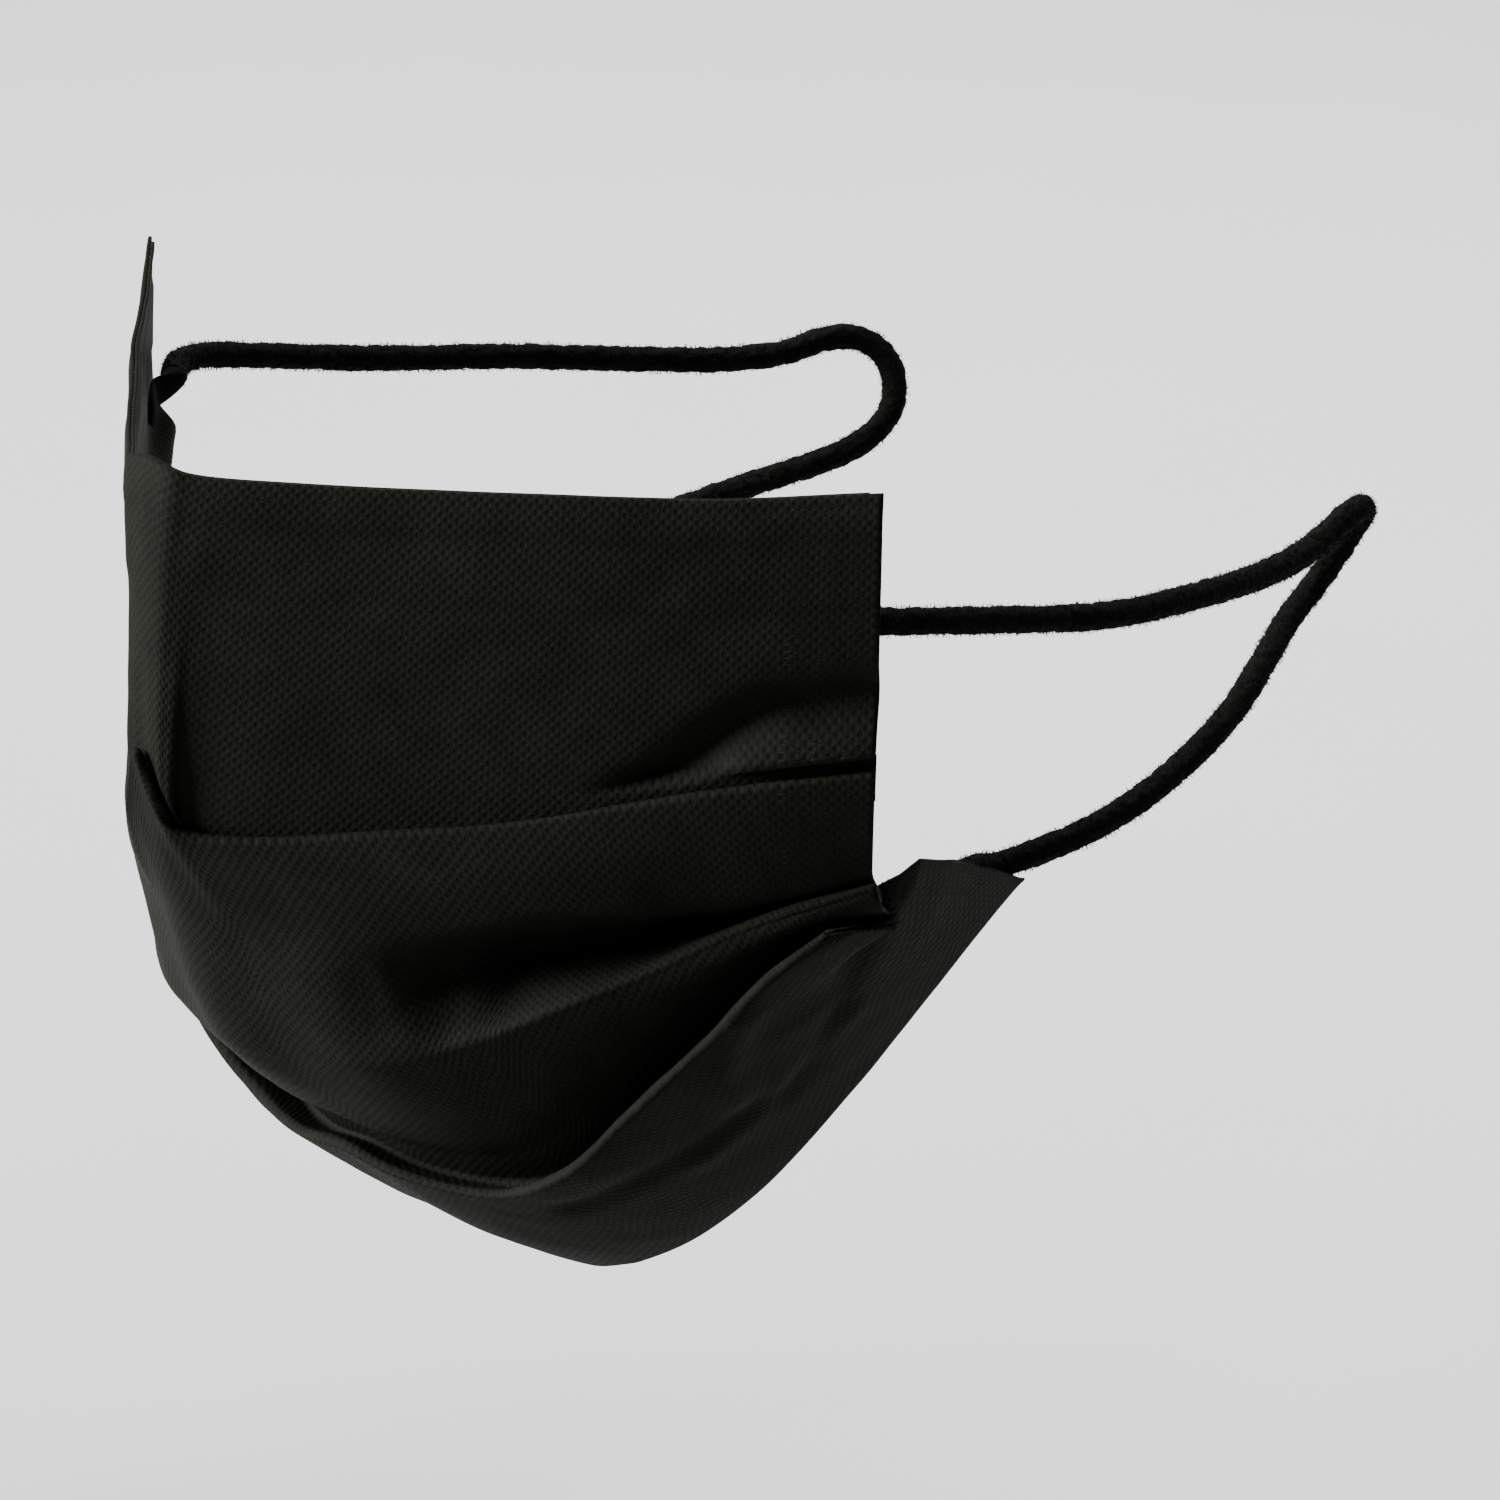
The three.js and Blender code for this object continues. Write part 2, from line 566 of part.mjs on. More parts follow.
// The tube of an ear loop. side is 1 for the left and -1 for the right.
function earLoop(name, side) {
  const points = LOOP_ROUTE.map((row) => new THREE.Vector3(row.x * side, row.y, row.z));
  const route = new THREE.CatmullRomCurve3(points, false, 'centripetal');
  const section = new THREE.Shape();
  for (let k = 0; k < CORD_SIDES; k += 1) {
    const turn = (2 * Math.PI * k) / CORD_SIDES;
    const x = (CORD_DIAMETER / 2) * Math.cos(turn);
    const y = (CORD_DIAMETER / 2) * Math.sin(turn);
    if (k === 0) section.moveTo(x, y);
    else section.lineTo(x, y);
  }
  section.closePath();
  const steps = Math.round(route.getLength() / CORD_STEP);
  return piece(name, new THREE.ExtrudeGeometry(section, { steps, extrudePath: route }), elastic);
}

const mask = new THREE.Group();
mask.position.y = -BRIDGE_DEPTH;
mask.add(maskBody(), topHem(), noseWire(), bottomHem());
for (const [label, side] of [['left', 1], ['right', -1]]) {
  mask.add(
    loopWeld(`loop_weld_upper_${label}`, upperPanel, UPPER_WELD, LOOP_ROUTE[0], side),
    loopWeld(`loop_weld_lower_${label}`, chinPanel, LOWER_WELD, LOOP_ROUTE.at(-1), side),
    earLoop(`ear_loop_${label}`, side),
  );
}

export default mask;
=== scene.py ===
"""A black pleated surgical mask in its worn shape: folded cloth, hems, nose wire and ear loops."""

import json
import math
import random

import bmesh
import bpy
import numpy as np
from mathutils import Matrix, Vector, noise

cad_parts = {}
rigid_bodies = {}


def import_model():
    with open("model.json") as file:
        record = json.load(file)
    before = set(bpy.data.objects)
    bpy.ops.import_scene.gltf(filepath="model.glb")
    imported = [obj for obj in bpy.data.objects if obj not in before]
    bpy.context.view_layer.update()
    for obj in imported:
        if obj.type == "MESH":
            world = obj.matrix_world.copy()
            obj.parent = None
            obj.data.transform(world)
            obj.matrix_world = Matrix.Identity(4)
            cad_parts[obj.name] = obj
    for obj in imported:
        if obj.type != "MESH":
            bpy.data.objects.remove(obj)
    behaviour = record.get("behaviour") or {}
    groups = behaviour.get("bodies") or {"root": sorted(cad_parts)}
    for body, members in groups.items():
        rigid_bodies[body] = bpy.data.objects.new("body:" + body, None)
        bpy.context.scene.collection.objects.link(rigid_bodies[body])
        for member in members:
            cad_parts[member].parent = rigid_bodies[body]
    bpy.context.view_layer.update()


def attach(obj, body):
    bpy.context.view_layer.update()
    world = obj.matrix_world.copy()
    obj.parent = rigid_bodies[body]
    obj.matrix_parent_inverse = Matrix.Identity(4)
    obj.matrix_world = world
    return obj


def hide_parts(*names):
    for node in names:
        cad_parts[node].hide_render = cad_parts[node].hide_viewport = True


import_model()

bl_info = {
    "name": "Pleated Surgical Mask",
    "version": (1, 0, 0),
    "blender": (4, 5, 0),
    "location": "3D View > Sidebar > Mask",
    "description": "Builds a pleated surgical mask as it is worn, with its ear loops and a plain stage",
    "category": "Add Mesh",
}

MM = 0.001
HALF_WIDTH = 87.5     # half of the sheet's width along the pleats, in mm
BRIDGE_DEPTH = 5.0    # the tables' zero lies this far in front of the skin of the nose
HALF_STATIONS = 100   # sections of the cloth on each side of the middle one
CROWDING = 0.35       # how much closer the sections stand at the middle and at the side edges

# ------------------------------------------------------------------ lines across the mask, in mm
# Each line runs from the middle of the mask to its left side edge: x to the wearer's left,
# y to the back of the head, z up.

TOP_EDGE = ((0, 2.4, -0.6), (4.0, 2.7, -1.3), (5.6, 3.9, -1.8), (15, 11.3, -2.2), (26, 20.2, -2.2),
            (38, 29.9, -1.9), (52, 42.1, -1.6), (66, 54.5, 0))
UPPER_LIP = ((0, -0.8, -35.4), (0.9, -0.6, -37.4), (2.1, 0.0, -40.9), (3.5, 0.9, -43.6),
             (5.6, 2.8, -44.8), (11, 6.8, -45.0), (22, 15.9, -43.5),
             (33, 24.8, -41.5), (45, 34.6, -38.2), (57, 44.8, -35.0), (66, 53.4, -33.1))
MIDDLE_MOUTH = ((0, 5.6, -58.0), (8, 8.6, -58.2), (19, 14.0, -57.4), (30, 22.6, -54.4),
                (38, 28.8, -51.8), (46, 36.2, -51.2), (55, 44.8, -50.2), (64.5, 54.5, -47.6))
MIDDLE_LIP = ((0, 12.4, -74.0), (9, 15.2, -73.8), (19, 18.0, -73.0), (30, 25.0, -68.2),
              (38, 31.0, -63.3), (45, 37.8, -58.9), (53, 45.0, -53.2), (64.6, 54.8, -47.3))
LOWER_MOUTH = ((0, 30.6, -88.4), (9, 31.6, -89.2), (21.4, 36.0, -88.4), (31.8, 37.6, -82.4),
               (39.4, 40.0, -73.8), (47.8, 45.2, -63.2), (54.6, 49.6, -56.0), (60.0, 54.6, -53.4),
               (63.5, 58.0, -52.3))
LOWER_LIP = ((0, 28.6, -91.2), (9, 29.5, -92.3), (22, 33.4, -92.2), (34, 34.5, -86.2),
             (42, 36.7, -77.7), (51, 41.8, -66.6), (57, 45.5, -58.5), (61.6, 50.1, -52.8))
BOTTOM_EDGE = ((0, 58.8, -111.0), (14, 57.8, -109.2), (25, 59.3, -103.9), (33, 62.6, -96.8),
               (40, 67.2, -87.4), (45.5, 73.1, -77.4), (50, 79.0, -67.4), (53.5, 86.4, -57.2))

# The chin panel's side edge, as (share of the panel's height, x, y, z).
CHIN_SIDE_EDGE = ((0, 61.6, 50.1, -52.8), (0.1, 62.9, 53.3, -52.8), (0.2, 63.4, 58.8, -53.5),
                  (0.27, 61.5, 59.4, -51.4), (0.33, 60.0, 59.2, -49.4), (0.4, 62.4, 60.4, -47.6),
                  (0.46, 64.6, 61.4, -45.4), (0.65, 62.3, 68.8, -48.1), (0.82, 57.8, 78.4, -52.5),
                  (1, 53.6, 87.4, -57.0))
CHIN_WAVE_START = 0.84    # place across where the chin panel starts to follow that edge
CHIN_BOW = 1.2            # how far the chin panel bows out
CHIN_START = 0.2          # the lowest lip faces this share of the chin panel
CHIN_SETTLE = 0.08        # and by this share the panel has left the lip
CHIN_ROWS = 44

# ------------------------------------------------------------------ the folds
# (place across the half width, tuck behind the lip in mm, depth inward in mm, share of a layer,
#  how far the pleat is pulled open)

PRESSED = -1          # as a depth: folded flat, half a layer behind the middle
UPPER_FOLD = ((0, 4, PRESSED, 1, 0), (0.4, 4.5, PRESSED, 1, 0), (0.8, 4.5, PRESSED, 1, 0),
              (1, 4, PRESSED, 1, 0))
MIDDLE_FOLD = ((0, -3, 1.5, 1, 1), (0.17, -2, 2.5, 1, 1), (0.28, 0, 4.5, 1.2, 0.7),
               (0.38, 2, 6.5, 1.6, 0.25), (0.46, 4, 7.5, 1.8, 0), (0.58, 5.5, 7.5, 1.8, 0),
               (0.7, 6.5, 6.5, 1.5, 0), (0.82, 7, 3.6, 1, 0), (0.92, 6, 1.6, 1, 0),
               (1, 4, PRESSED, 1, 0))
LOWER_FOLD = ((0, 4, 0.9, 1, 0), (0.4, 5, 1.2, 1, 0), (0.75, 6, 1.4, 1, 0), (0.9, 6, 1.0, 1, 0),
              (1, 5, PRESSED, 1, 0))

# How many layers each mouth line is set back behind its lip, as (place across, layers).
UPPER_SETBACK = ((0, 2), (1, 2))
MIDDLE_SETBACK = ((0, 0), (0.3, 0.1), (0.6, 0.4), (0.8, 2))
LOWER_SETBACK = ((0, 0.3), (0.8, 0.3), (0.92, 1.2), (1, 1.1))

UPPER_PANEL, UPPER_HIDDEN, MIDDLE_PANEL, MIDDLE_HIDDEN, THIRD_PANEL, LOWER_HIDDEN, CHIN_PANEL = range(7)

# (rows of the panel above the fold, how far that panel bows out)
UPPER_ROWS, MIDDLE_ROWS, THIRD_ROWS = (44, 0.6), (15, 0.4), (18, 0.9)

# A pleat's five corners are mouth, the two of the hidden root, inside of the lip, and lip.
# At each, the cloth has rows at these shares of the way round.
OPEN_CORNER = (0, 0.25, 0.5, 0.75, 1)
TIGHT_CORNER = (0, 0.3, 0.6)
ROOT_END = (0, 0.3, 0.6, 1)
LEG_ROWS = {1: 4, 3: 7}   # rows between a corner and the one before it
ROOT_ROW = 14             # from this hidden row of a pleat on, the cloth runs back to the lip
MOUTH_ROUNDING = 1.4
CORNER_SHARE = 0.45       # a corner is rounded over this share of its shorter leg at most
LEAST_ROUNDING = 0.5      # and over this share of its full rounding at least

# Pulled fully open, the same corners lie along a low arch from mouth to lip.
SPREAD_PLACES = (0, 0.3, 0.55, 0.8, 1)
SPREAD_FULLNESS = 0.5
SPREAD_ROUNDING = 2.4

# ------------------------------------------------------------------ soft creases of the cloth
# (panel, [(mm across, mm below the panel's start), ...], depth in mm, reach in mm).
# A negative depth stands out.

CREASES = (
    (UPPER_PANEL, ((90, 24), (83, 24.5), (75, 25.5), (66, 32), (60, 37)), 2.3, 2.6),
    (UPPER_PANEL, ((90, 31.5), (82, 32), (74, 33.5)), -1.7, 3.6),
    (CHIN_PANEL, ((79, 14), (70, 18), (63, 19), (58, 20)), 0.6, 2.2),
    (CHIN_PANEL, ((56, 17), (48, 14), (40, 9), (30, 7)), 0.6, 2.2),
    (CHIN_PANEL, ((71, 2), (66, 4), (60, 8), (57, 12)), -0.9, 2.6),
    (CHIN_PANEL, ((70, 20), (62, 18), (54, 18), (46, 16)), -0.5, 2.4),
)
CREASE_PIECES = 12

# Where the hem and the wire lie under the cloth, in mm below the top edge, and how far each
# pushes it out. Each edge has a start and an end.
HEM_EDGE, HEM_RISE = (12.8, 13.8), 0.15
WIRE_EDGES, WIRE_RISE = ((1.2, 2.0), (4.6, 5.4)), 0.22

# Soft unevenness of the cloth: (mm across, mm down, slice of the noise, height in mm).
UNEVENNESS = ((26, 17, 3.1, 0.5), (7.5, 5.0, 8.7, 0.12))

# ------------------------------------------------------------------ the left ear loop's route, in m

LOOP_ROUTE = (
    (0.0602, 0.0479, -0.0160), (0.0647, 0.0524, -0.0161), (0.0665, 0.0575, -0.0167),
    (0.0665, 0.0670, -0.0187), (0.0660, 0.0775, -0.0210), (0.0648, 0.0880, -0.0229),
    (0.0616, 0.1020, -0.0248), (0.0564, 0.1170, -0.0270), (0.0514, 0.1285, -0.0282),
    (0.0484, 0.1355, -0.0280), (0.0470, 0.1402, -0.0270), (0.0454, 0.1442, -0.0272),
    (0.0430, 0.1466, -0.0290), (0.0408, 0.1468, -0.0322), (0.0396, 0.1450, -0.0356),
    (0.0398, 0.1414, -0.0384), (0.0414, 0.1364, -0.0404), (0.0456, 0.1284, -0.0428),
    (0.0508, 0.1176, -0.0460), (0.0544, 0.1045, -0.0496), (0.0550, 0.0940, -0.0524),
    (0.0530, 0.0850, -0.0546), (0.0521, 0.0796, -0.0552), (0.0539, 0.0744, -0.0538),
    (0.0552, 0.0710, -0.0536),
)
SIDES = (("left", 1), ("right", -1))

# The loops' knit and fibres, in m.
RING_STEP, RING_SIDES = 0.0003, 40
STITCH_COLUMNS, STITCH_LENGTH, STITCH_HEIGHT = 8, 0.0011, 0.00007
KNIT_SINK = 0.00008        # the ground between the stitches lies this much below the full radius
KNIT_UNEVENNESS, UNEVEN_PER_METRE, UNEVEN_ROUND = 0.0002, 900, 1.8
FIBRE_WIDTH, FIBRE_ROOT = 0.00005, 0.0001     # the root is how far a fibre starts inside the loop

# ------------------------------------------------------------------ hems, wire, loop ends, seals, in mm

SEWN_GAP = 0.1
TOP_HEM_DEPTH, TOP_HEM_SPAN = 13.4, 0.985     # spans are shares of the half width
BOTTOM_HEM_DEPTH, BOTTOM_HEM_SPAN = 6.2, 0.97
WIRE_TOP, WIRE_BOTTOM, WIRE_SPAN = 1.9, 5.1, 0.58
WIRE_GAP = 0.07
# The top hem steps over the wire by a little more than the wire's thickness, and comes down
# again past the wire's ends and beside it.
STEP_OVER = 0.15
STEP_ENDS, STEP_ABOVE, STEP_BELOW = (51, 54), (0.8, 2.0), (5.0, 6.4)

# (level, panel, place across as a share, mm down the panel, the loop's point that it ends)
LOOP_ENDS = (("upper", UPPER_PANEL, 0.9, 16.9, LOOP_ROUTE[0]),
             ("lower", CHIN_PANEL, 0.93, 28.0, LOOP_ROUTE[-1]))
PAD_HALF_WIDTH, PAD_HALF_HEIGHT = 2.5, 0.5
PAD_REACH = 3.6            # how far the pad goes on past its weld
PAD_GAP, LOOP_GAP = 0.05, 0.02     # from the pad to the cloth, and from the loop's end
PAD_RINGS, PAD_SIDES = 36, 28
PAD_FLAT_BY = 0.45         # share of the end's length by which it is flat
PAD_ROUND = (0.72, 0.285)  # share where its tip starts to round off, and over what share
DIMPLE_DEPTH, DIMPLE_PITCH = 0.16, 1.2

# Seal marks at the sides: (panel, its height there) and (mm across, length of a mark).
SEALED_PANELS = ((UPPER_PANEL, 35.0), (MIDDLE_PANEL, 12.0), (THIRD_PANEL, 5.5), (CHIN_PANEL, 38.0))
SEAL_COLUMNS = ((84.9, 2.8), (81.7, 3.2), (78.4, 3.2))
SEAL_START, SEAL_PITCH, SEAL_WIDTH = 1.2, 0.8, 0.34
SEALS_LEFT_OUT = 2        # of each column, at the fold that ends the panel
# Marks along the top hem: (mm below the top edge, pitch, length, width).
HEM_MARKS = ((0.9, 2.2, 1.2, 0.4), (1.9, 1.1, 0.7, 0.3), (5.1, 1.1, 0.7, 0.3))
HEM_MARKS_REACH = 86
MARK_SINK, MARK_HEIGHT = 0.03, 0.045          # a mark's middle below the surface, half its height

# ------------------------------------------------------------------ the stage, in m

VIEW_MIDDLE = (0.0330, 0.0585, -0.0412)
LAMP_TARGET = (0.02, 0.04, -0.05)
# (name, setting with its power, side, to the camera's right, towards the camera, up)
LIGHTS = (("Key", "key_power", 0.9, -1.9, 0.1, 0.6),
          ("Fill", "fill_power", 1.2, 1.5, 1.0, 0.5),
          ("Top", "top_power", 0.8, 0.0, -0.5, 1.0))
PAPER_HALF_WIDTH, PAPER_LENGTH = 4.0, 6.0
PAPER_FRONT = 2.0     # how far the paper reaches towards the camera
PAPER_FLAT = 2.0      # how far it lies flat behind the mask
PAPER_RADIUS = 1.0    # of its curve up into the backdrop


# ------------------------------------------------------------------ small mathematics

def unit(vectors):
    return vectors / np.maximum(np.linalg.norm(vectors, axis=-1, keepdims=True), 1e-9)


def smoothstep(value, low, high):
    share = np.clip((value - low) / (high - low), 0, 1)
    return share * share * (3 - 2 * share)


def arch(share):
    """Rises from 0 to 1 at the half way point and falls back."""
    return 4 * share * (1 - share)


def spline(points, pieces):
    """A dense line through the points, rounder where they lie far apart."""
    points = [np.array(p, float) for p in points]
    ends = [2 * points[0] - points[1], *points, 2 * points[-1] - points[-2]]
    dense = []
    for p0, p1, p2, p3 in zip(ends, ends[1:], ends[2:], ends[3:]):
        d0, d1, d2 = (max(np.linalg.norm(b - a), 1e-6) ** 0.5
                      for a, b in ((p0, p1), (p1, p2), (p2, p3)))
        start = d1 * ((p1 - p0) / d0 - (p2 - p0) / (d0 + d1) + (p2 - p1) / d1)
        stop = d1 * ((p2 - p1) / d1 - (p3 - p1) / (d1 + d2) + (p3 - p2) / d2)
        for k in range(pieces):
            t = k / pieces
            dense.append(p1 + start * t + (3 * (p2 - p1) - 2 * start - stop) * t ** 2
                         + (2 * (p1 - p2) + start + stop) * t ** 3)
    dense.append(points[-1])
    return np.array(dense)


def even_line(points, pieces=60):
    """A function from shares of a smooth line's length to its points."""
    dense = spline(points, pieces)
    run = np.concatenate([[0], np.cumsum(np.linalg.norm(np.diff(dense, axis=0), axis=1))])
    return lambda share: np.stack(
        [np.interp(share, run / run[-1], dense[:, axis]) for axis in range(3)], axis=-1)


def line_across(rows):
    """A line from the right side edge, place -1, to the left one, place 1."""
    half = [(x, y - BRIDGE_DEPTH, z) for x, y, z in rows]
    line = even_line([(-x, y, z) for x, y, z in reversed(half[1:])] + half)
    return lambda across: line((np.asarray(across) + 1) / 2)


def column(rows, at, index):
    """One column of a table at places of its first column, with a soft step between rows."""
    keys = [row[0] for row in rows]
    place = np.interp(at, keys, np.arange(len(keys)))
    low = np.minimum(place.astype(int), len(keys) - 2)
    values = np.array([row[index] for row in rows], float)
    return values[low] + (values[low + 1] - values[low]) * smoothstep(place - low, 0, 1)


# ------------------------------------------------------------------ the folded sheet

class Sheet:
    """The middle surface of the folded cloth as a grid, and places on it in cloth millimetres."""

    def __init__(self, pitch):
        steps = np.linspace(-1, 1, 2 * HALF_STATIONS + 1)
        self.pitch = pitch
        self.across = steps - CROWDING * np.sin(2 * np.pi * steps) / (2 * np.pi)
        self.lines = [line_across(rows) for rows in (
            TOP_EDGE, UPPER_LIP, MIDDLE_MOUTH, MIDDLE_LIP, LOWER_MOUTH, LOWER_LIP, BOTTOM_EDGE)]
        self.rows, self.panels = [], []
        self.fold_sections()
        self.points = np.stack(self.rows, axis=1)
        self.measure()
        self.points = self.points + self.normals() * self.relief()[..., None]

    def outward(self, line, above, below):
        """The way out of the mask along a line that lies between two others."""
        before = line(np.maximum(self.across - 0.01, -1))
        towards_left = unit(line(np.minimum(self.across + 0.01, 1)) - before)
        return unit(np.cross(unit(below - above), towards_left))

    def chin(self, share):
        """The chin panel at a share of the way down from the lower lip."""
        lip, bottom = self.lines[5](self.across), self.lines[6](self.across)
        out = self.outward(self.lines[6], lip, bottom)
        plain = lip + (bottom - lip) * share + out * arch(share) * CHIN_BOW
        edge = np.array([column(CHIN_SIDE_EDGE, np.array([share]), k)[0] for k in (1, 2, 3)])
        edge = np.tile(edge - (0, BRIDGE_DEPTH, 0), (len(self.across), 1))
        edge[:, 0] *= np.sign(self.across)
        wave = smoothstep(np.abs(self.across), CHIN_WAVE_START, 1)[:, None]
        return plain + (edge - plain) * wave

    def set_back(self, mouth, table, out):
        """A mouth line moved in by its table's number of layers."""
        return mouth - out * self.pitch * column(table, np.abs(self.across), 1)[:, None]

    def pleat(self, mouth, lip, facing, below, table):
        """The corners of one pleat: mouth, the two of the hidden root, inside of the lip, lip."""
        at = np.abs(self.across)
        tuck = column(table, at, 1)[:, None]
        depth = column(table, at, 2)[:, None]
        depth = np.where(depth < 0, self.pitch / 2, np.maximum(depth, self.pitch / 2))
        layer = self.pitch * column(table, at, 3)[:, None]
        down = unit(below - lip)
        out = unit(facing - down * np.sum(facing * down, axis=1, keepdims=True))
        lip_inside = lip - out * layer
        way = np.where(tuck > 0, down, unit(lip - mouth))
        root = (mouth + lip) / 2 + way * tuck - out * depth
        leg = unit(root - (mouth + lip_inside) / 2)
        apart = unit(out * np.sum(leg * down, axis=1, keepdims=True)
                     - down * np.sum(leg * out, axis=1, keepdims=True)) * layer / 2
        folded = [(mouth, MOUTH_ROUNDING, OPEN_CORNER), (root - apart, layer / 2, TIGHT_CORNER),
                  (root + apart, layer / 2, ROOT_END), (lip_inside, layer / 2, TIGHT_CORNER),
                  (lip, layer / 2, OPEN_CORNER)]
        spread = column(table, at, 4)[:, None]
        corners = []
        for share, (point, reach, stops) in zip(SPREAD_PLACES, folded):
            wide = mouth + (lip - mouth) * share + out * arch(share) * SPREAD_FULLNESS
            corners.append((point + (wide - point) * spread,
                            reach + (SPREAD_ROUNDING - reach) * spread, stops))
        return corners

    def round_corner(self, before, here, after, reach, stops):
        """Rows round one corner, from a distance before it to the same distance after it."""
        back, on = unit(before - here), unit(after - here)
        room = CORNER_SHARE * np.minimum(np.linalg.norm(here - before, axis=1),
                                         np.linalg.norm(here - after, axis=1))[:, None]
        start = np.minimum(reach, np.maximum(room, np.multiply(reach, LEAST_ROUNDING)))
        first, last = here + back * start, here + on * start
        turn = np.sum(back * on, axis=1, keepdims=True)
        weight = np.sqrt(np.maximum((1 - turn) / 2, 0))
        made = []
        for t in stops:
            parts = (1 - t) ** 2, 2 * weight * t * (1 - t), t ** 2
            made.append((first * parts[0] + here * parts[1] + last * parts[2]) / sum(parts))
        return made

    def add(self, points, panel):
        self.rows += points
        self.panels += [panel] * len(points)

    def add_between(self, start, end, out, count, bow, panel):
        """Rows of a panel strictly between two others, bowed out."""
        shares = [(k + 1) / (count + 1) for k in range(count)]
        self.add([start + (end - start) * s + out * arch(s) * bow for s in shares], panel)

    def fold_sections(self):
        """All rows of the section: the top edge, three panels with their pleats, the chin panel."""
        top, lip1, mouth2, lip2, mouth3, lip3 = (line(self.across) for line in self.lines[:6])
        upper_lip, middle_lip, lower_lip = self.lines[1:6:2]
        out1 = self.outward(upper_lip, lip1, mouth2)
        out2 = self.outward(middle_lip, lip2, mouth3)
        chin_start = self.chin(CHIN_START)
        out3 = self.outward(lower_lip, lip3, chin_start)
        mouth1 = self.set_back(lip1, UPPER_SETBACK, out1)
        mouth2 = self.set_back(mouth2, MIDDLE_SETBACK, out2)
        mouth3 = self.set_back(mouth3, LOWER_SETBACK, out3)
        self.add([top], UPPER_PANEL)
        folds = (
            (mouth1, lip1, out1, mouth2, UPPER_FOLD, UPPER_PANEL, UPPER_ROWS),
            (mouth2, lip2, out2, mouth3, MIDDLE_FOLD, MIDDLE_PANEL, MIDDLE_ROWS),
            (mouth3, lip3, out3, chin_start, LOWER_FOLD, THIRD_PANEL, THIRD_ROWS),
        )
        previous, previous_out = top, out1
        for mouth, lip, out, below, table, panel, (count, bow) in folds:
            corners = self.pleat(mouth, lip, out, below, table)
            path = [previous, *(c[0] for c in corners), below]
            rounded = [self.round_corner(path[k], path[k + 1], path[k + 2], reach, stops)
                       for k, (_, reach, stops) in enumerate(corners)]
            self.add_between(self.rows[-1], rounded[0][0], previous_out, count, bow, panel)
            for k, points in enumerate(rounded):
                hidden = panel + 1 if k < 4 else panel + 2
                if k in LEG_ROWS:
                    self.add_between(self.rows[-1], points[0], out, LEG_ROWS[k], 0, hidden)
                self.add(points, hidden)
            previous, previous_out = lip, out
        start = self.rows[-1]
        for share in np.linspace(0, 1, CHIN_ROWS)[1:]:
            settled = float(smoothstep(share, 0, CHIN_SETTLE))
            self.add([start * (1 - settled) + self.chin(share) * settled], CHIN_PANEL)

    def measure(self):
        """Cloth millimetres: along the section, and along the same section pressed flat."""
        steps = np.linalg.norm(np.diff(self.points, axis=1), axis=2)
        zero = np.zeros((len(self.across), 1))
        self.down = np.concatenate([zero, np.cumsum(steps, axis=1)], axis=1)
        names = np.array(self.panels)
        sign = np.ones(len(names) - 1)
        for hidden in (UPPER_HIDDEN, MIDDLE_HIDDEN, LOWER_HIDDEN):
            inside = np.flatnonzero(names == hidden)
            sign[inside[ROOT_ROW]:inside[-1]] = -1
        self.flat = np.concatenate([zero, np.cumsum(steps * sign, axis=1)], axis=1)
        self.first_row = {p: int(np.flatnonzero(names == p)[0]) for p in range(7)}
        self.panel_of = names

    def normals(self):
        """The way out of the cloth at every point."""
        along = np.gradient(self.points, axis=0)
        downward = np.gradient(self.points, axis=1)
        return unit(np.cross(downward, along))

    def panel_down(self, panel):
        """Distance down each section from where a panel starts."""
        return self.down - self.down[:, self.first_row[panel]][:, None]

    def relief(self):
        """How far the cloth stands out of its plain folded shape."""
        across = np.broadcast_to(self.across[:, None] * HALF_WIDTH, self.down.shape)
        relief = np.zeros(self.down.shape)
        for panel, route, depth, reach in CREASES:
            line = spline([(u, v, 0) for u, v in route], CREASE_PIECES)[:, :2]
            down = self.panel_down(panel)
            nearest = np.full(relief.shape, 1e9)
            for u, v in line:
                nearest = np.minimum(nearest, np.hypot(np.abs(across) - u, down - v))
            inside = (self.panel_of == panel)[None, :]
            relief -= depth * np.exp(-(nearest / reach) ** 2) * inside
        hem = 1 - smoothstep(self.flat, *HEM_EDGE)
        channel = smoothstep(self.flat, *WIRE_EDGES[0]) * (1 - smoothstep(self.flat, *WIRE_EDGES[1]))
        relief += np.where(self.panel_of[None, :] == UPPER_PANEL, HEM_RISE * hem + WIRE_RISE * channel, 0)
        soft = [[sum(height * noise.noise(Vector((u / wide, s / tall, part)))
                     for wide, tall, part, height in UNEVENNESS)
                 for s in self.flat[i]] for i, u in enumerate(self.across * HALF_WIDTH)]
        return relief + np.array(soft)

    def place(self, panel, across, down):
        """A point of a panel, its way out, and its ways across and down."""
        i = float(np.interp(across / HALF_WIDTH, self.across, np.arange(len(self.across))))
        low = min(int(i), len(self.across) - 2)
        share = i - low
        rows = np.flatnonzero(self.panel_of == panel)
        rows = np.append(rows, min(rows[-1] + 1, len(self.panel_of) - 1))
        depth = self.panel_down(panel)[low, rows]
        j = float(np.interp(down, depth, rows))
        high = min(int(j), len(self.panel_of) - 2)
        drop = j - high
        corner = self.points[low:low + 2, high:high + 2]
        point = ((1 - share) * ((1 - drop) * corner[0, 0] + drop * corner[0, 1])
                 + share * ((1 - drop) * corner[1, 0] + drop * corner[1, 1]))
        right = unit(corner[1, 0] - corner[0, 0])
        below = unit(corner[0, 1] - corner[0, 0])
        out = unit(np.cross(below, right))
        return point, out, right, np.cross(right, out)


sheets_made = {}


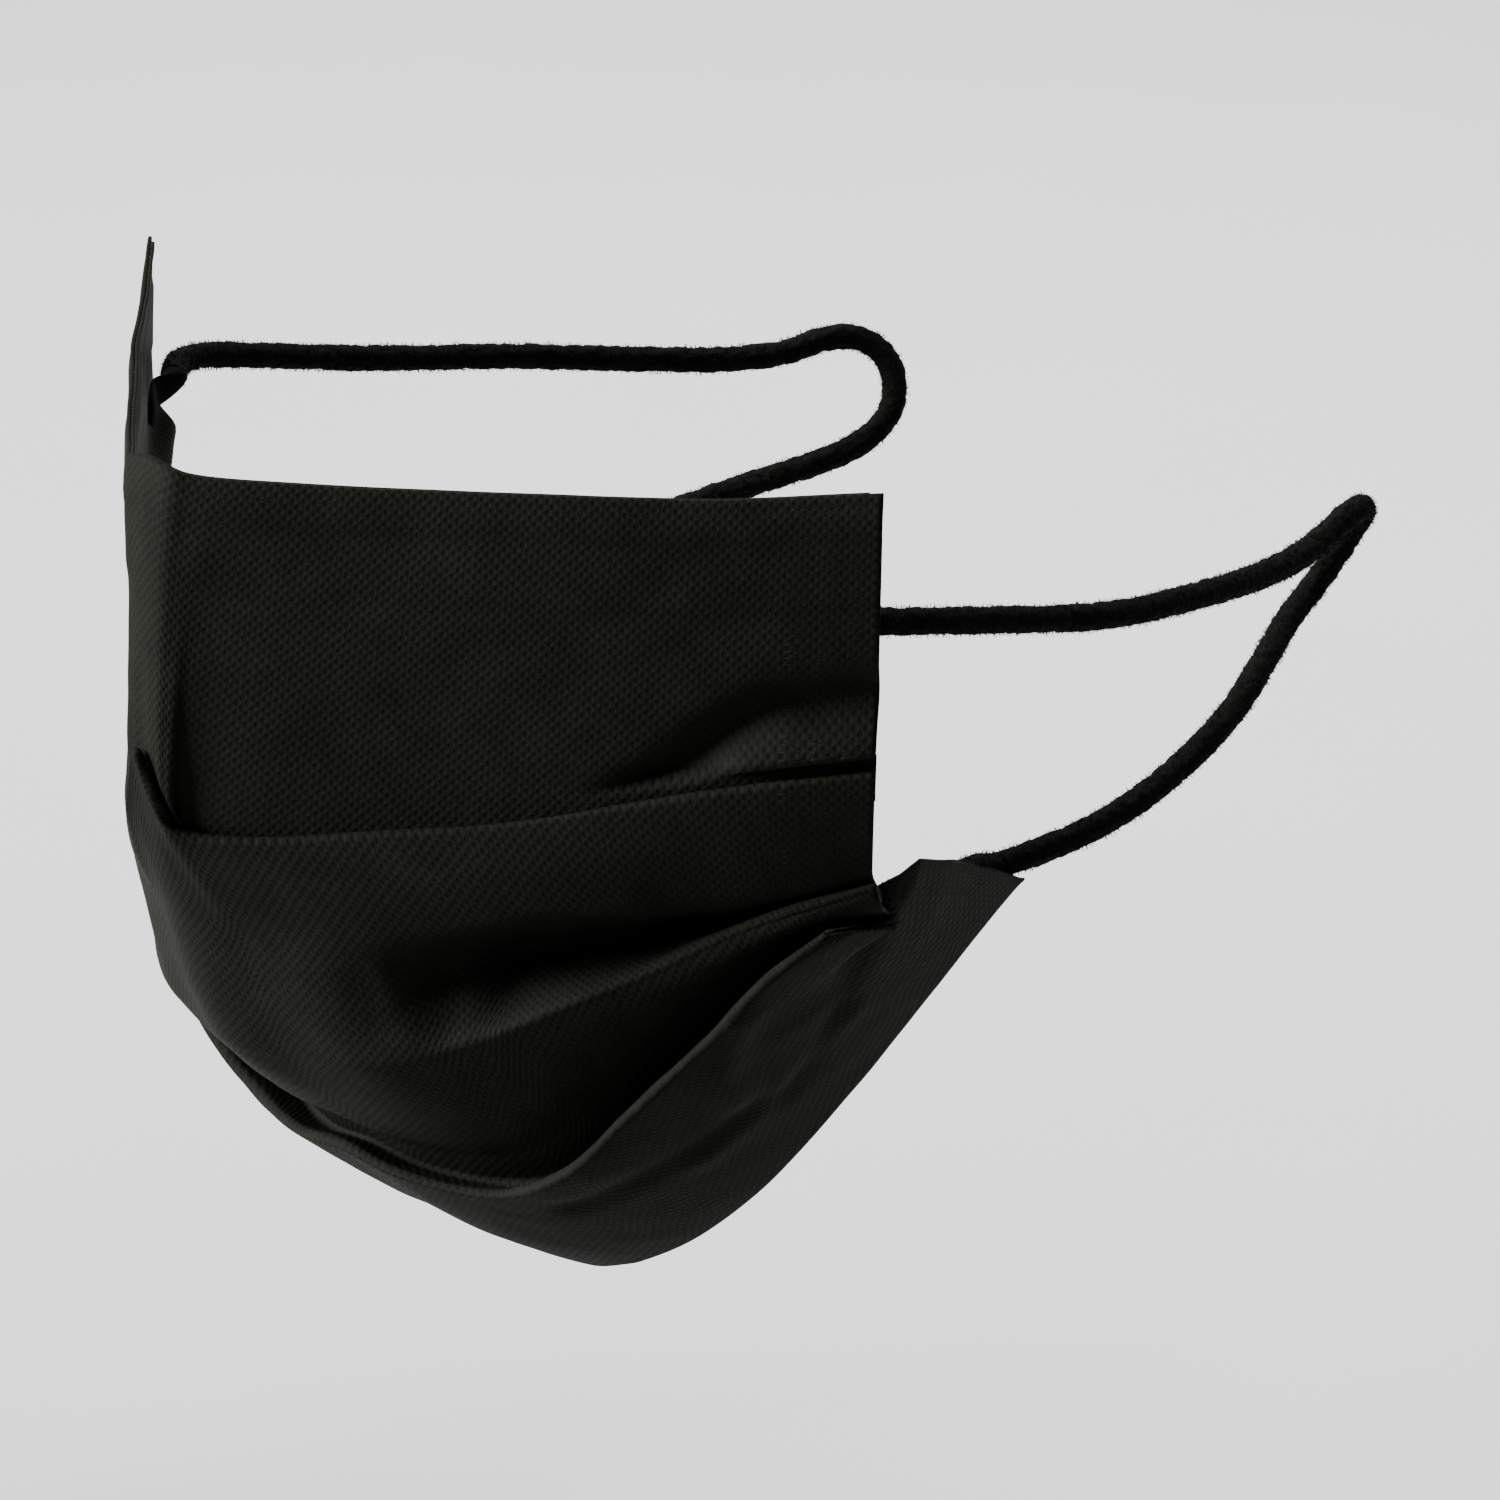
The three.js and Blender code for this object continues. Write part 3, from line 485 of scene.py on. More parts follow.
def sheet_of(sizes):
    """The folded sheet, worked out once for each layer pitch."""
    key = round(sizes.layer_pitch * 1e6)
    if key not in sheets_made:
        sheets_made[key] = Sheet(sizes.layer_pitch / MM)
    return sheets_made[key]


# ------------------------------------------------------------------ colours and materials

def from_hex(text):
    """An sRGB hex colour as the linear values that the shaders use."""
    parts = [int(text[k:k + 2], 16) / 255 for k in (0, 2, 4)]
    return [c / 12.92 if c <= 0.04045 else ((c + 0.055) / 1.055) ** 2.4 for c in parts]


def rgba(colour):
    return (*colour[:3], 1.0)


def add_node(tree, kind, links=None, values=None, **settings):
    """Adds a node, sets it and its inputs, and links other nodes' outputs to its inputs."""
    made = tree.nodes.new(kind)
    for key, value in settings.items():
        setattr(made, key, value)
    for key, value in (values or {}).items():
        made.inputs[key].default_value = value
    for key, source in (links or {}).items():
        tree.links.new(source, made.inputs[key])
    return made


def new_material(name, colour, **values):
    """A material with a Principled shader, its tree and the shader."""
    made = bpy.data.materials.new(name)
    made.use_nodes = True
    tree = made.node_tree
    shader = next(n for n in tree.nodes if n.type == "BSDF_PRINCIPLED")
    shader.inputs["Base Color"].default_value = rgba(colour)
    for key, value in values.items():
        shader.inputs[key].default_value = value
    return made, tree, shader


def math_node(tree, operation, first, second):
    links = {k: v for k, v in ((0, first), (1, second)) if not isinstance(v, (int, float))}
    values = {k: v for k, v in ((0, first), (1, second)) if isinstance(v, (int, float))}
    return add_node(tree, "ShaderNodeMath", links, values, operation=operation).outputs[0]


def map_range(tree, value, low, high, start, stop, **settings):
    """A value taken from one range to another, as a node's output."""
    return add_node(tree, "ShaderNodeMapRange", {"Value": value},
                    {"From Min": low, "From Max": high, "To Min": start, "To Max": stop},
                    **settings).outputs[0]


def shade_base(tree, shader, colour, level):
    """Makes the base colour lighter and darker by a level."""
    tint = add_node(tree, "ShaderNodeVectorMath", {"Scale": level}, {0: colour[:3]},
                    operation="SCALE").outputs[0]
    tree.links.new(tint, shader.inputs["Base Color"])


def object_noise(tree, **values):
    """Noise in object coordinates, which are metres."""
    place = add_node(tree, "ShaderNodeTexCoord").outputs["Object"]
    return add_node(tree, "ShaderNodeTexNoise", {"Vector": place}, values).outputs[0]


def spunbond(name, colour, bond_depth, gloss):
    """Spunbond polypropylene: random fibres pressed together by a lattice of small oval bonds."""
    made, tree, shader = new_material(name, colour, **{"Specular IOR Level": 0.02})
    place = add_node(tree, "ShaderNodeUVMap", uv_map="cloth_mm").outputs[0]
    # The bonds stand 1.3 mm apart in a lattice turned by 45 degrees, each about 0.6 mm long.
    turned = add_node(tree, "ShaderNodeMapping", {"Vector": place},
                      {"Rotation": (0, 0, math.radians(45)), "Scale": (1.09, 1.09, 1)})
    bonds = add_node(tree, "ShaderNodeTexVoronoi", {"Vector": turned.outputs[0]},
                     {"Scale": 1.0, "Randomness": 0.16}, voronoi_dimensions="2D", feature="F1")
    bond = map_range(tree, bonds.outputs["Distance"], 0.1, 0.52, 1.0, 0.0,
                     interpolation_type="SMOOTHSTEP")
    # Fibres about 0.15 mm apart, matted into longer streaks.
    streaks = add_node(tree, "ShaderNodeMapping", {"Vector": place},
                       {"Rotation": (0, 0, math.radians(8)), "Scale": (1.6, 6.5, 1)})
    fibre = add_node(tree, "ShaderNodeTexNoise", {"Vector": streaks.outputs[0]},
                     {"Scale": 1.0, "Detail": 4.0, "Roughness": 0.7}, noise_dimensions="2D").outputs[0]
    # The fibres lie unevenly: clouds of 2 to 10 mm.
    cloud = add_node(tree, "ShaderNodeTexNoise", {"Vector": place},
                     {"Scale": 0.22, "Detail": 3.0, "Roughness": 0.6}, noise_dimensions="2D").outputs[0]
    shade = math_node(tree, "ADD", math_node(tree, "MULTIPLY", cloud, 0.5),
                      math_node(tree, "MULTIPLY", fibre, 0.5))
    ramp = map_range(tree, shade, 0.3, 0.7, 0.8, 1.22)
    # A bond is 22 per cent darker than the loose fibres, and smoother.
    darker = math_node(tree, "MULTIPLY", ramp, math_node(
        tree, "SUBTRACT", 1.0, math_node(tree, "MULTIPLY", bond, 0.22)))
    shade_base(tree, shader, colour, darker)
    tree.links.new(map_range(tree, bond, 0.0, 1.0, 0.75, gloss), shader.inputs["Roughness"])
    bumps = add_node(tree, "ShaderNodeBump", {"Height": math_node(tree, "MULTIPLY", bond, -1.0)},
                     {"Strength": 1.0, "Distance": bond_depth})
    fine = add_node(tree, "ShaderNodeBump", {"Height": fibre, "Normal": bumps.outputs[0]},
                    {"Strength": 0.8, "Distance": 0.00006})
    tree.links.new(fine.outputs[0], shader.inputs["Normal"])
    return made


def cut_edge(colour):
    """The cut edge, where the black layers and the paler filter between them show as specks."""
    made, tree, shader = new_material("Cut edge of the layered cloth", colour, **{
        "Roughness": 0.8, "Specular IOR Level": 0.06})
    # Specks about 0.3 mm across.
    specks = object_noise(tree, Scale=3300.0, Detail=2.0)
    shade_base(tree, shader, colour, map_range(tree, specks, 0.35, 0.65, 0.45, 1.25))
    return made


def pressed_weld(colour):
    """Cloth melted flat under the sealing roller, a little smoother than the rest."""
    made, tree, shader = new_material("Melted polypropylene of the seals", colour, **{
        "Roughness": 0.65, "Specular IOR Level": 0.02})
    # Patches about 0.6 mm across.
    uneven = object_noise(tree, Scale=1800.0, Detail=2.0)
    tree.links.new(map_range(tree, uneven, 0.3, 0.7, 0.55, 0.75), shader.inputs["Roughness"])
    return made


def knitted_elastic(name, colour):
    """Round knitted elastic of fine textured yarn."""
    made, tree, shader = new_material(name, colour, **{
        "Roughness": 0.95, "Specular IOR Level": 0.05})
    # Yarn filaments about 0.2 mm apart.
    yarn = object_noise(tree, Scale=5000.0, Detail=3.0, Roughness=0.7)
    shade_base(tree, shader, colour, map_range(tree, yarn, 0.3, 0.7, 0.6, 1.5))
    bump = add_node(tree, "ShaderNodeBump", {"Height": yarn}, {"Strength": 0.9, "Distance": 0.0001})
    tree.links.new(bump.outputs[0], shader.inputs["Normal"])
    return made


def bare_wire(colour):
    """Bare aluminium strip with drawing lines along it."""
    made, tree, shader = new_material("Rolled aluminium strip", colour, **{"Metallic": 1.0})
    place = add_node(tree, "ShaderNodeUVMap", uv_map="cloth_mm").outputs[0]
    # Drawing lines 0.1 mm apart across the strip, 20 mm long.
    lines = add_node(tree, "ShaderNodeMapping", {"Vector": place}, {"Scale": (0.05, 10.0, 1)})
    grain = add_node(tree, "ShaderNodeTexNoise", {"Vector": lines.outputs[0]},
                     {"Scale": 1.0, "Detail": 2.0}, noise_dimensions="2D").outputs[0]
    tree.links.new(map_range(tree, grain, 0.3, 0.7, 0.28, 0.5), shader.inputs["Roughness"])
    return made


# ------------------------------------------------------------------ meshes

def finish_object(name, mesh, materials, smooth=True):
    """Links a mesh as a piece of the mask that belongs to its one rigid body."""
    made = bpy.data.objects.new(name, mesh)
    bpy.context.scene.collection.objects.link(made)
    for item in materials:
        mesh.materials.append(item)
    for polygon in mesh.polygons:
        polygon.use_smooth = smooth
    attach(made, "root")
    return made


def mesh_from(bm, name):
    """Ends a bmesh as a new mesh."""
    mesh = bpy.data.meshes.new(name)
    bm.to_mesh(mesh)
    bm.free()
    return mesh


# A sheet's materials are outer face, inner face and rim, and from here on the same three at a fold.
FOLDED_SLOT = 3


def grid_mesh(name, points, marks, folded):
    """A mesh through a grid of points in metres, with marks, in mm, as its cloth coordinates.

    The rows of faces named in folded end in a fold: they use the slots from FOLDED_SLOT on.
    """
    wide, tall = points.shape[:2]
    bm = bmesh.new()
    bmesh.ops.create_grid(bm, x_segments=wide - 1, y_segments=tall - 1, size=1)
    bm.verts.ensure_lookup_table()
    ordered = sorted(bm.verts, key=lambda vert: (round(vert.co.x, 5), round(vert.co.y, 5)))
    layer = bm.loops.layers.uv.new("cloth_mm")
    place, row = {}, {}
    for k, index in enumerate([vert.index for vert in ordered]):
        i, j = k // tall, tall - 1 - k % tall
        bm.verts[index].co = points[i, j]
        place[index] = marks[i, j]
        row[index] = j
    folded_rows = {j % (tall - 1) for j in folded}
    for face in bm.faces:
        if min(row[vert.index] for vert in face.verts) in folded_rows:
            face.material_index = FOLDED_SLOT
        for loop in face.loops:
            loop[layer].uv = place[loop.vert.index]
    return mesh_from(bm, name)


def tube_frames(line):
    """Even cross directions along a line, turned as little as possible."""
    ways = unit(np.gradient(line, axis=0))
    side = unit(np.cross(ways[0], (0.3, 0.2, 1.0)))
    sides = []
    for way in ways:
        side = unit(side - way * np.dot(side, way))
        sides.append(side)
    sides = np.array(sides)
    return ways, sides, np.cross(ways, sides)


def closed_rings(name, rings):
    """A closed mesh through rings of points, with a flat face at each end."""
    sides = rings.shape[1]
    bm = bmesh.new()
    verts = [[bm.verts.new(p) for p in ring] for ring in rings]
    for low, high in zip(verts, verts[1:]):
        for k in range(sides):
            bm.faces.new((low[k], low[(k + 1) % sides], high[(k + 1) % sides], high[k]))
    bm.faces.new(list(reversed(verts[0])))
    bm.faces.new(verts[-1])
    bmesh.ops.recalc_face_normals(bm, faces=bm.faces[:])
    return mesh_from(bm, name)


def strip_from(sheet, rows, stations, lies):
    """Part of the folded cloth, moved towards the face by a function of mm across and down."""
    down = sheet.down[stations][:, rows]
    across = np.broadcast_to(sheet.across[stations][:, None] * HALF_WIDTH, down.shape)
    out = sheet.normals()[stations][:, rows]
    moved = np.broadcast_to(lies(across, down), down.shape)[..., None]
    return (sheet.points[stations][:, rows] - out * moved) * MM, np.stack([across, down], axis=-1)


def sheet_piece(name, node, strip, folded, materials, thickness):
    """A strip as a piece that stands for a node, with half its wall on each side of its middle."""
    made = finish_object(name, grid_mesh(name, *strip, folded), materials)
    wall = made.modifiers.new("Wall", "SOLIDIFY")
    wall.thickness = thickness
    wall.offset = 0
    wall.use_rim = True
    if len(materials) > 1:
        wall.material_offset = 1
        wall.material_offset_rim = 2
    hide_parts(node)


# ------------------------------------------------------------------ settings

class MaskSizes(bpy.types.PropertyGroup):
    """Sizes of the mask's cloth, hems, wire and loops."""
    cloth_thickness: bpy.props.FloatProperty(
        name="Cloth thickness", description="Outer layer, filter and lining together",
        default=0.00045, min=0.0001, unit="LENGTH", subtype="DISTANCE")
    layer_pitch: bpy.props.FloatProperty(
        name="Layer pitch", description="From one folded layer to the next",
        default=0.0009, min=0.0003, unit="LENGTH", subtype="DISTANCE")
    hem_thickness: bpy.props.FloatProperty(
        name="Hem thickness", description="Thickness of the strips turned in at the top and bottom",
        default=0.00035, min=0.0001, unit="LENGTH", subtype="DISTANCE")
    wire_thickness: bpy.props.FloatProperty(
        name="Wire thickness", description="Thickness of the flat nose wire",
        default=0.0005, min=0.0001, unit="LENGTH", subtype="DISTANCE")
    loop_diameter: bpy.props.FloatProperty(
        name="Loop diameter", description="Diameter of the round ear loops",
        default=0.0032, min=0.001, unit="LENGTH", subtype="DISTANCE")
    fuzz_length: bpy.props.FloatProperty(
        name="Fuzz length", description="Longest loose fibre on the ear loops",
        default=0.0008, min=0.0, unit="LENGTH", subtype="DISTANCE")
    fuzz_count: bpy.props.IntProperty(
        name="Fuzz count", description="Loose fibres on each ear loop", default=12000, min=0)
    bond_depth: bpy.props.FloatProperty(
        name="Bond depth", description="How deep the point bonds are pressed into the cloth",
        default=0.00006, min=0.0, unit="LENGTH", subtype="DISTANCE")


class MaskColours(bpy.types.PropertyGroup):
    """Colours of the mask's materials."""
    cloth: bpy.props.FloatVectorProperty(
        name="Cloth", description="Outer spunbond cloth", size=3, subtype="COLOR",
        default=from_hex("131310"))
    lining: bpy.props.FloatVectorProperty(
        name="Lining", description="Cloth on the face side", size=3, subtype="COLOR",
        default=from_hex("171714"))
    cut_edge: bpy.props.FloatVectorProperty(
        name="Cut edge", description="Cut edge of the layers", size=3, subtype="COLOR",
        default=from_hex("1e1d1b"))
    welds: bpy.props.FloatVectorProperty(
        name="Seals", description="Melted marks of the seals", size=3, subtype="COLOR",
        default=from_hex("121210"))
    elastic: bpy.props.FloatVectorProperty(
        name="Elastic", description="Knitted ear loops", size=3, subtype="COLOR",
        default=from_hex("090908"))
    wire: bpy.props.FloatVectorProperty(
        name="Wire", description="Nose wire", size=3, subtype="COLOR", default=from_hex("b4b6b8"))


class MaskStage(bpy.types.PropertyGroup):
    """Camera, floor and lights."""
    azimuth: bpy.props.FloatProperty(
        name="Azimuth", description="Camera's turn round the mask from straight in front",
        default=math.radians(48.9), subtype="ANGLE")
    elevation: bpy.props.FloatProperty(
        name="Elevation", description="Camera's height above the horizon",
        default=math.radians(19.4), subtype="ANGLE")
    distance: bpy.props.FloatProperty(
        name="Distance", description="From the camera to the mask",
        default=1.247, min=0.2, unit="LENGTH", subtype="DISTANCE")
    view_width: bpy.props.FloatProperty(
        name="View width", description="Width of the view at the mask",
        default=0.173, min=0.05, unit="LENGTH", subtype="DISTANCE")
    floor_height: bpy.props.FloatProperty(
        name="Floor height", description="Height of the floor below the nose bridge",
        default=-0.16, unit="LENGTH", subtype="DISTANCE")
    floor_colour: bpy.props.FloatVectorProperty(
        name="Floor", description="Colour of the floor and backdrop", size=3, subtype="COLOR",
        default=from_hex("f1f1f1"))
    key_power: bpy.props.FloatProperty(
        name="Key light", description="Power of the large light on the camera's left",
        default=250.0, min=0.0, unit="POWER")
    fill_power: bpy.props.FloatProperty(
        name="Fill light", description="Power of the weak light on the camera's right",
        default=1.0, min=0.0, unit="POWER")
    top_power: bpy.props.FloatProperty(
        name="Top light", description="Power of the light above and behind the mask",
        default=34.0, min=0.0, unit="POWER")
    room_light: bpy.props.FloatProperty(
        name="Room light", description="Strength of the even light from all round",
        default=0.05, min=0.0)


def cloth_materials(scene):
    """The body's three materials in their order: outer cloth, lining, cut edge."""
    sizes, colours = scene.mask_sizes, scene.mask_colours
    names = "Spunbond polypropylene, outer", "Spunbond polypropylene, lining"
    if names[0] not in bpy.data.materials:
        spunbond(names[0], colours.cloth, sizes.bond_depth, 0.6)
        spunbond(names[1], colours.lining, sizes.bond_depth * 0.6, 0.5)
        cut_edge(colours.cut_edge)
        pressed_weld(colours.welds)
    return [bpy.data.materials[n] for n in (*names, "Cut edge of the layered cloth")]


# ------------------------------------------------------------------ operators

class MASK_OT_camera(bpy.types.Operator):
    """Makes the camera, at its angle and distance to the mask"""
    bl_idname = "mask.camera"
    bl_label = "Camera"

    def execute(self, context):
        stage = context.scene.mask_stage
        data = bpy.data.cameras.new("Camera")
        data.lens = data.sensor_width * stage.distance / stage.view_width
        data.clip_start, data.clip_end = 0.05, 20
        camera = bpy.data.objects.new("Camera", data)
        context.scene.collection.objects.link(camera)
        turn, rise = stage.azimuth, stage.elevation
        back = Vector((math.sin(turn) * math.cos(rise), -math.cos(turn) * math.cos(rise), math.sin(rise)))
        camera.location = Vector(VIEW_MIDDLE) + back * stage.distance
        camera.rotation_euler = (-back).to_track_quat("-Z", "Y").to_euler()
        context.scene.camera = camera
        return {"FINISHED"}


class MASK_OT_ear_loops(bpy.types.Operator):
    """Makes the two round knitted ear loops with their loose fibres"""
    bl_idname = "mask.ear_loops"
    bl_label = "Ear loops"

    def execute(self, context):
        sizes, colours = context.scene.mask_sizes, context.scene.mask_colours
        yarn = knitted_elastic("Knitted elastic yarn", colours.elastic)
        loose = knitted_elastic("Loose elastic fibres", [c * 1.6 for c in colours.elastic])
        for label, side in SIDES:
            line = even_line([(x * side, y, z) for x, y, z in LOOP_ROUTE])
            rough = line(np.linspace(0, 1, 400))
            length = float(np.sum(np.linalg.norm(np.diff(rough, axis=0), axis=1)))
            path = line(np.linspace(0, 1, int(length / RING_STEP)))
            loop = self.knitted_tube(f"loop_{label}", path, sizes.loop_diameter / 2)
            made = finish_object(f"elastic_loop_{label}", loop, [yarn])
            fuzz = self.fibres(f"fuzz_{label}", path, sizes, random.Random(11 + side))
            fluff = finish_object(f"elastic_fuzz_{label}", fuzz, [loose], smooth=False)
            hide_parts(f"ear_loop_{label}")
        return {"FINISHED"}

    def knitted_tube(self, name, path, radius):
        """A tube with columns of slanting stitches and a soft unevenness about 1 mm long."""
        _, sides, others = tube_frames(path)
        turn = np.arange(RING_SIDES) * 2 * np.pi / RING_SIDES
        run = np.arange(len(path))[:, None] * RING_STEP
        from_middle = np.abs((STITCH_COLUMNS * turn / (2 * np.pi)) % 1 - 0.5)[None, :]
        stitch = 0.5 + 0.5 * np.cos(2 * np.pi * (run / STITCH_LENGTH - from_middle * 0.9))
        groove = 1 - np.exp(-(from_middle / 0.16) ** 2)
        relief = STITCH_HEIGHT * stitch * (0.35 + 0.65 * groove) - KNIT_SINK
        uneven = np.array([[noise.noise(Vector((
            r * UNEVEN_PER_METRE, math.cos(t) * UNEVEN_ROUND, math.sin(t) * UNEVEN_ROUND)))
            for t in turn] for r in run[:, 0]])
        reach = radius + relief + KNIT_UNEVENNESS * uneven
        cosine, sine = np.cos(turn)[None, :, None], np.sin(turn)[None, :, None]
        rings = path[:, None] + (sides[:, None] * cosine + others[:, None] * sine) * reach[..., None]
        return closed_rings(name, rings)

    def fibres(self, name, path, sizes, chance):
        """Loose fibres: thin three sided spikes that lean and curl away from the loop."""
        ways, sides, others = tube_frames(path)
        bm = bmesh.new()
        for _ in range(sizes.fuzz_count):
            k = chance.randrange(2, len(path) - 2)
            turn = chance.uniform(0, 2 * math.pi)
            out = Vector(sides[k]) * math.cos(turn) + Vector(others[k]) * math.sin(turn)
            tangent = Vector(ways[k])
            length = sizes.fuzz_length * (0.25 + 0.75 * chance.random() ** 2)
            lean = tangent * chance.uniform(-1.1, 1.1) + out.cross(tangent) * chance.uniform(-0.8, 0.8)
            root = Vector(path[k]) + out * (sizes.loop_diameter / 2 - FIBRE_ROOT)
            middle = root + (out * 0.75 + lean * 0.3).normalized() * length * 0.55
            tip = middle + (out * 0.3 + lean * 0.8).normalized() * length * 0.55
            cross = (tip - root).cross(out).normalized() * FIBRE_WIDTH
            low = [bm.verts.new(root + way) for way in (out.cross(cross), cross, -cross)]
            high = [bm.verts.new(middle + (v.co - root) * 0.8) for v in low]
            end = bm.verts.new(tip)
            for a, b in ((0, 1), (1, 2), (2, 0)):
                bm.faces.new((low[a], low[b], high[b], high[a]))
                bm.faces.new((high[a], high[b], end))
            bm.faces.new((low[2], low[1], low[0]))
        bmesh.ops.recalc_face_normals(bm, faces=bm.faces[:])
        return mesh_from(bm, name)


class MASK_OT_body(bpy.types.Operator):
    """Makes the folded cloth with its pleats, chin panel, creases and cut edges"""
    bl_idname = "mask.body"
    bl_label = "Folded cloth"

    def execute(self, context):
        sizes = context.scene.mask_sizes
        everything = slice(None)
        strip = strip_from(sheet_of(sizes), everything, everything, lambda across, down: 0)
        cloth, lining, edge = cloth_materials(context.scene)
        sheet_piece("folded_cloth", "mask_body", strip, (0, -1),
                    [cloth, lining, edge, cloth, lining, cloth], sizes.cloth_thickness)
        return {"FINISHED"}


class MASK_OT_hems(bpy.types.Operator):
    """Makes the strips of cloth turned in along the top and bottom edges"""
    bl_idname = "mask.hems"
    bl_label = "Hems"

    def execute(self, context):
        scene = context.scene
        sizes = scene.mask_sizes
        sheet = sheet_of(sizes)
        wall, hem, wire = (thickness / MM for thickness in (
            sizes.cloth_thickness, sizes.hem_thickness, sizes.wire_thickness))
        plain = wall / 2 + SEWN_GAP + hem / 2
        down = sheet.down[len(sheet.across) // 2]
        cloth, lining, edge = cloth_materials(scene)

        def over_wire(across, depth):
            along = 1 - smoothstep(np.abs(across), *STEP_ENDS)
            beside = smoothstep(depth, *STEP_ABOVE) * (1 - smoothstep(depth, *STEP_BELOW))
            return plain + (wire + STEP_OVER) * along * beside

        for name, node, covered, span, fold, lies in (
                ("turned_in_top", "top_hem", down < TOP_HEM_DEPTH, TOP_HEM_SPAN, 0, over_wire),
                ("turned_in_bottom", "bottom_hem", down > down[-1] - BOTTOM_HEM_DEPTH, BOTTOM_HEM_SPAN,
                 -1, lambda across, depth: plain)):
            strip = strip_from(sheet, covered, np.abs(sheet.across) < span, lies)
            sheet_piece(name, node, strip, (fold,), [lining, lining, edge, lining, lining, cloth],
                        sizes.hem_thickness)
        return {"FINISHED"}


class MASK_OT_nose_wire(bpy.types.Operator):
    """Makes the flat nose wire between the cloth and the top hem"""
    bl_idname = "mask.nose_wire"
    bl_label = "Nose wire"

    def execute(self, context):
        sizes, colours = context.scene.mask_sizes, context.scene.mask_colours
        sheet = sheet_of(sizes)
        down = sheet.down[len(sheet.across) // 2]
        behind = (sizes.cloth_thickness + sizes.wire_thickness) / 2 / MM + WIRE_GAP
        strip = strip_from(sheet, (down > WIRE_TOP) & (down < WIRE_BOTTOM),
                           np.abs(sheet.across) < WIRE_SPAN, lambda across, depth: behind)
        sheet_piece("flat_wire", "nose_wire", strip, (), [bare_wire(colours.wire)],
                    sizes.wire_thickness)
        return {"FINISHED"}


class MASK_OT_loop_ends(bpy.types.Operator):
    """Makes the four loop ends, pressed flat and welded to the face side of the cloth"""
    bl_idname = "mask.loop_ends"
    bl_label = "Loop ends"

    def execute(self, context):
        scene = context.scene
        sizes = scene.mask_sizes
        sheet = sheet_of(sizes)
        yarn = bpy.data.materials["Knitted elastic yarn"]
        for label, side in SIDES:
            for level, panel, across, down, end in LOOP_ENDS:
                spot = sheet.place(panel, across * HALF_WIDTH * side, down)
                start = np.array((end[0] * side, end[1], end[2])) / MM
                mesh = self.pressed_end(f"end_{level}_{label}", start, spot, sizes)
                made = finish_object(f"pressed_end_{level}_{label}", mesh, [yarn])
                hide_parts(f"loop_weld_{level}_{label}")
        return {"FINISHED"}

    def pressed_end(self, name, start, spot, sizes):
        """From the round loop to a flat oval pad with a few welded dimples."""
        middle, out, _, _ = spot
        radius, wall = sizes.loop_diameter / 2 / MM, sizes.cloth_thickness / MM
        inward = -out
        lift = np.dot(start - middle, inward)
        along = start - middle - inward * lift
        reach = np.linalg.norm(along)
        along = along / reach
        across = np.cross(along, inward)
        rings = []
        round_from, round_over = PAD_ROUND
        whole = reach + PAD_REACH
        for share in np.linspace(0, 1, PAD_RINGS + 1):
            flat = smoothstep(share, 0.0, PAD_FLAT_BY)
            end = math.sqrt(max(1 - ((max(share, round_from) - round_from) / round_over) ** 2, 0.0))
            half_width = (radius + (PAD_HALF_WIDTH - radius) * flat) * end
            half_height = (radius + (PAD_HALF_HEIGHT - radius) * flat) * (0.35 + 0.65 * end)
            height = lift + (wall / 2 + PAD_GAP + half_height - lift) * flat
            centre = middle + along * (reach + LOOP_GAP - share * whole) + inward * height
            ring = []
            for n in range(PAD_SIDES):
                turn = 2 * math.pi * n / PAD_SIDES
                x, z = math.cos(turn) * half_width, math.sin(turn) * half_height
                dimple = DIMPLE_DEPTH * flat * max(0, math.sin(turn)) * (
                    0.5 + 0.5 * math.cos(x * 2 * math.pi / DIMPLE_PITCH)) * (
                    0.5 + 0.5 * math.cos(share * whole * 2 * math.pi / DIMPLE_PITCH))
                ring.append(centre + across * x + inward * (z - dimple))
            rings.append(ring)
        return closed_rings(name, np.array(rings) * MM)


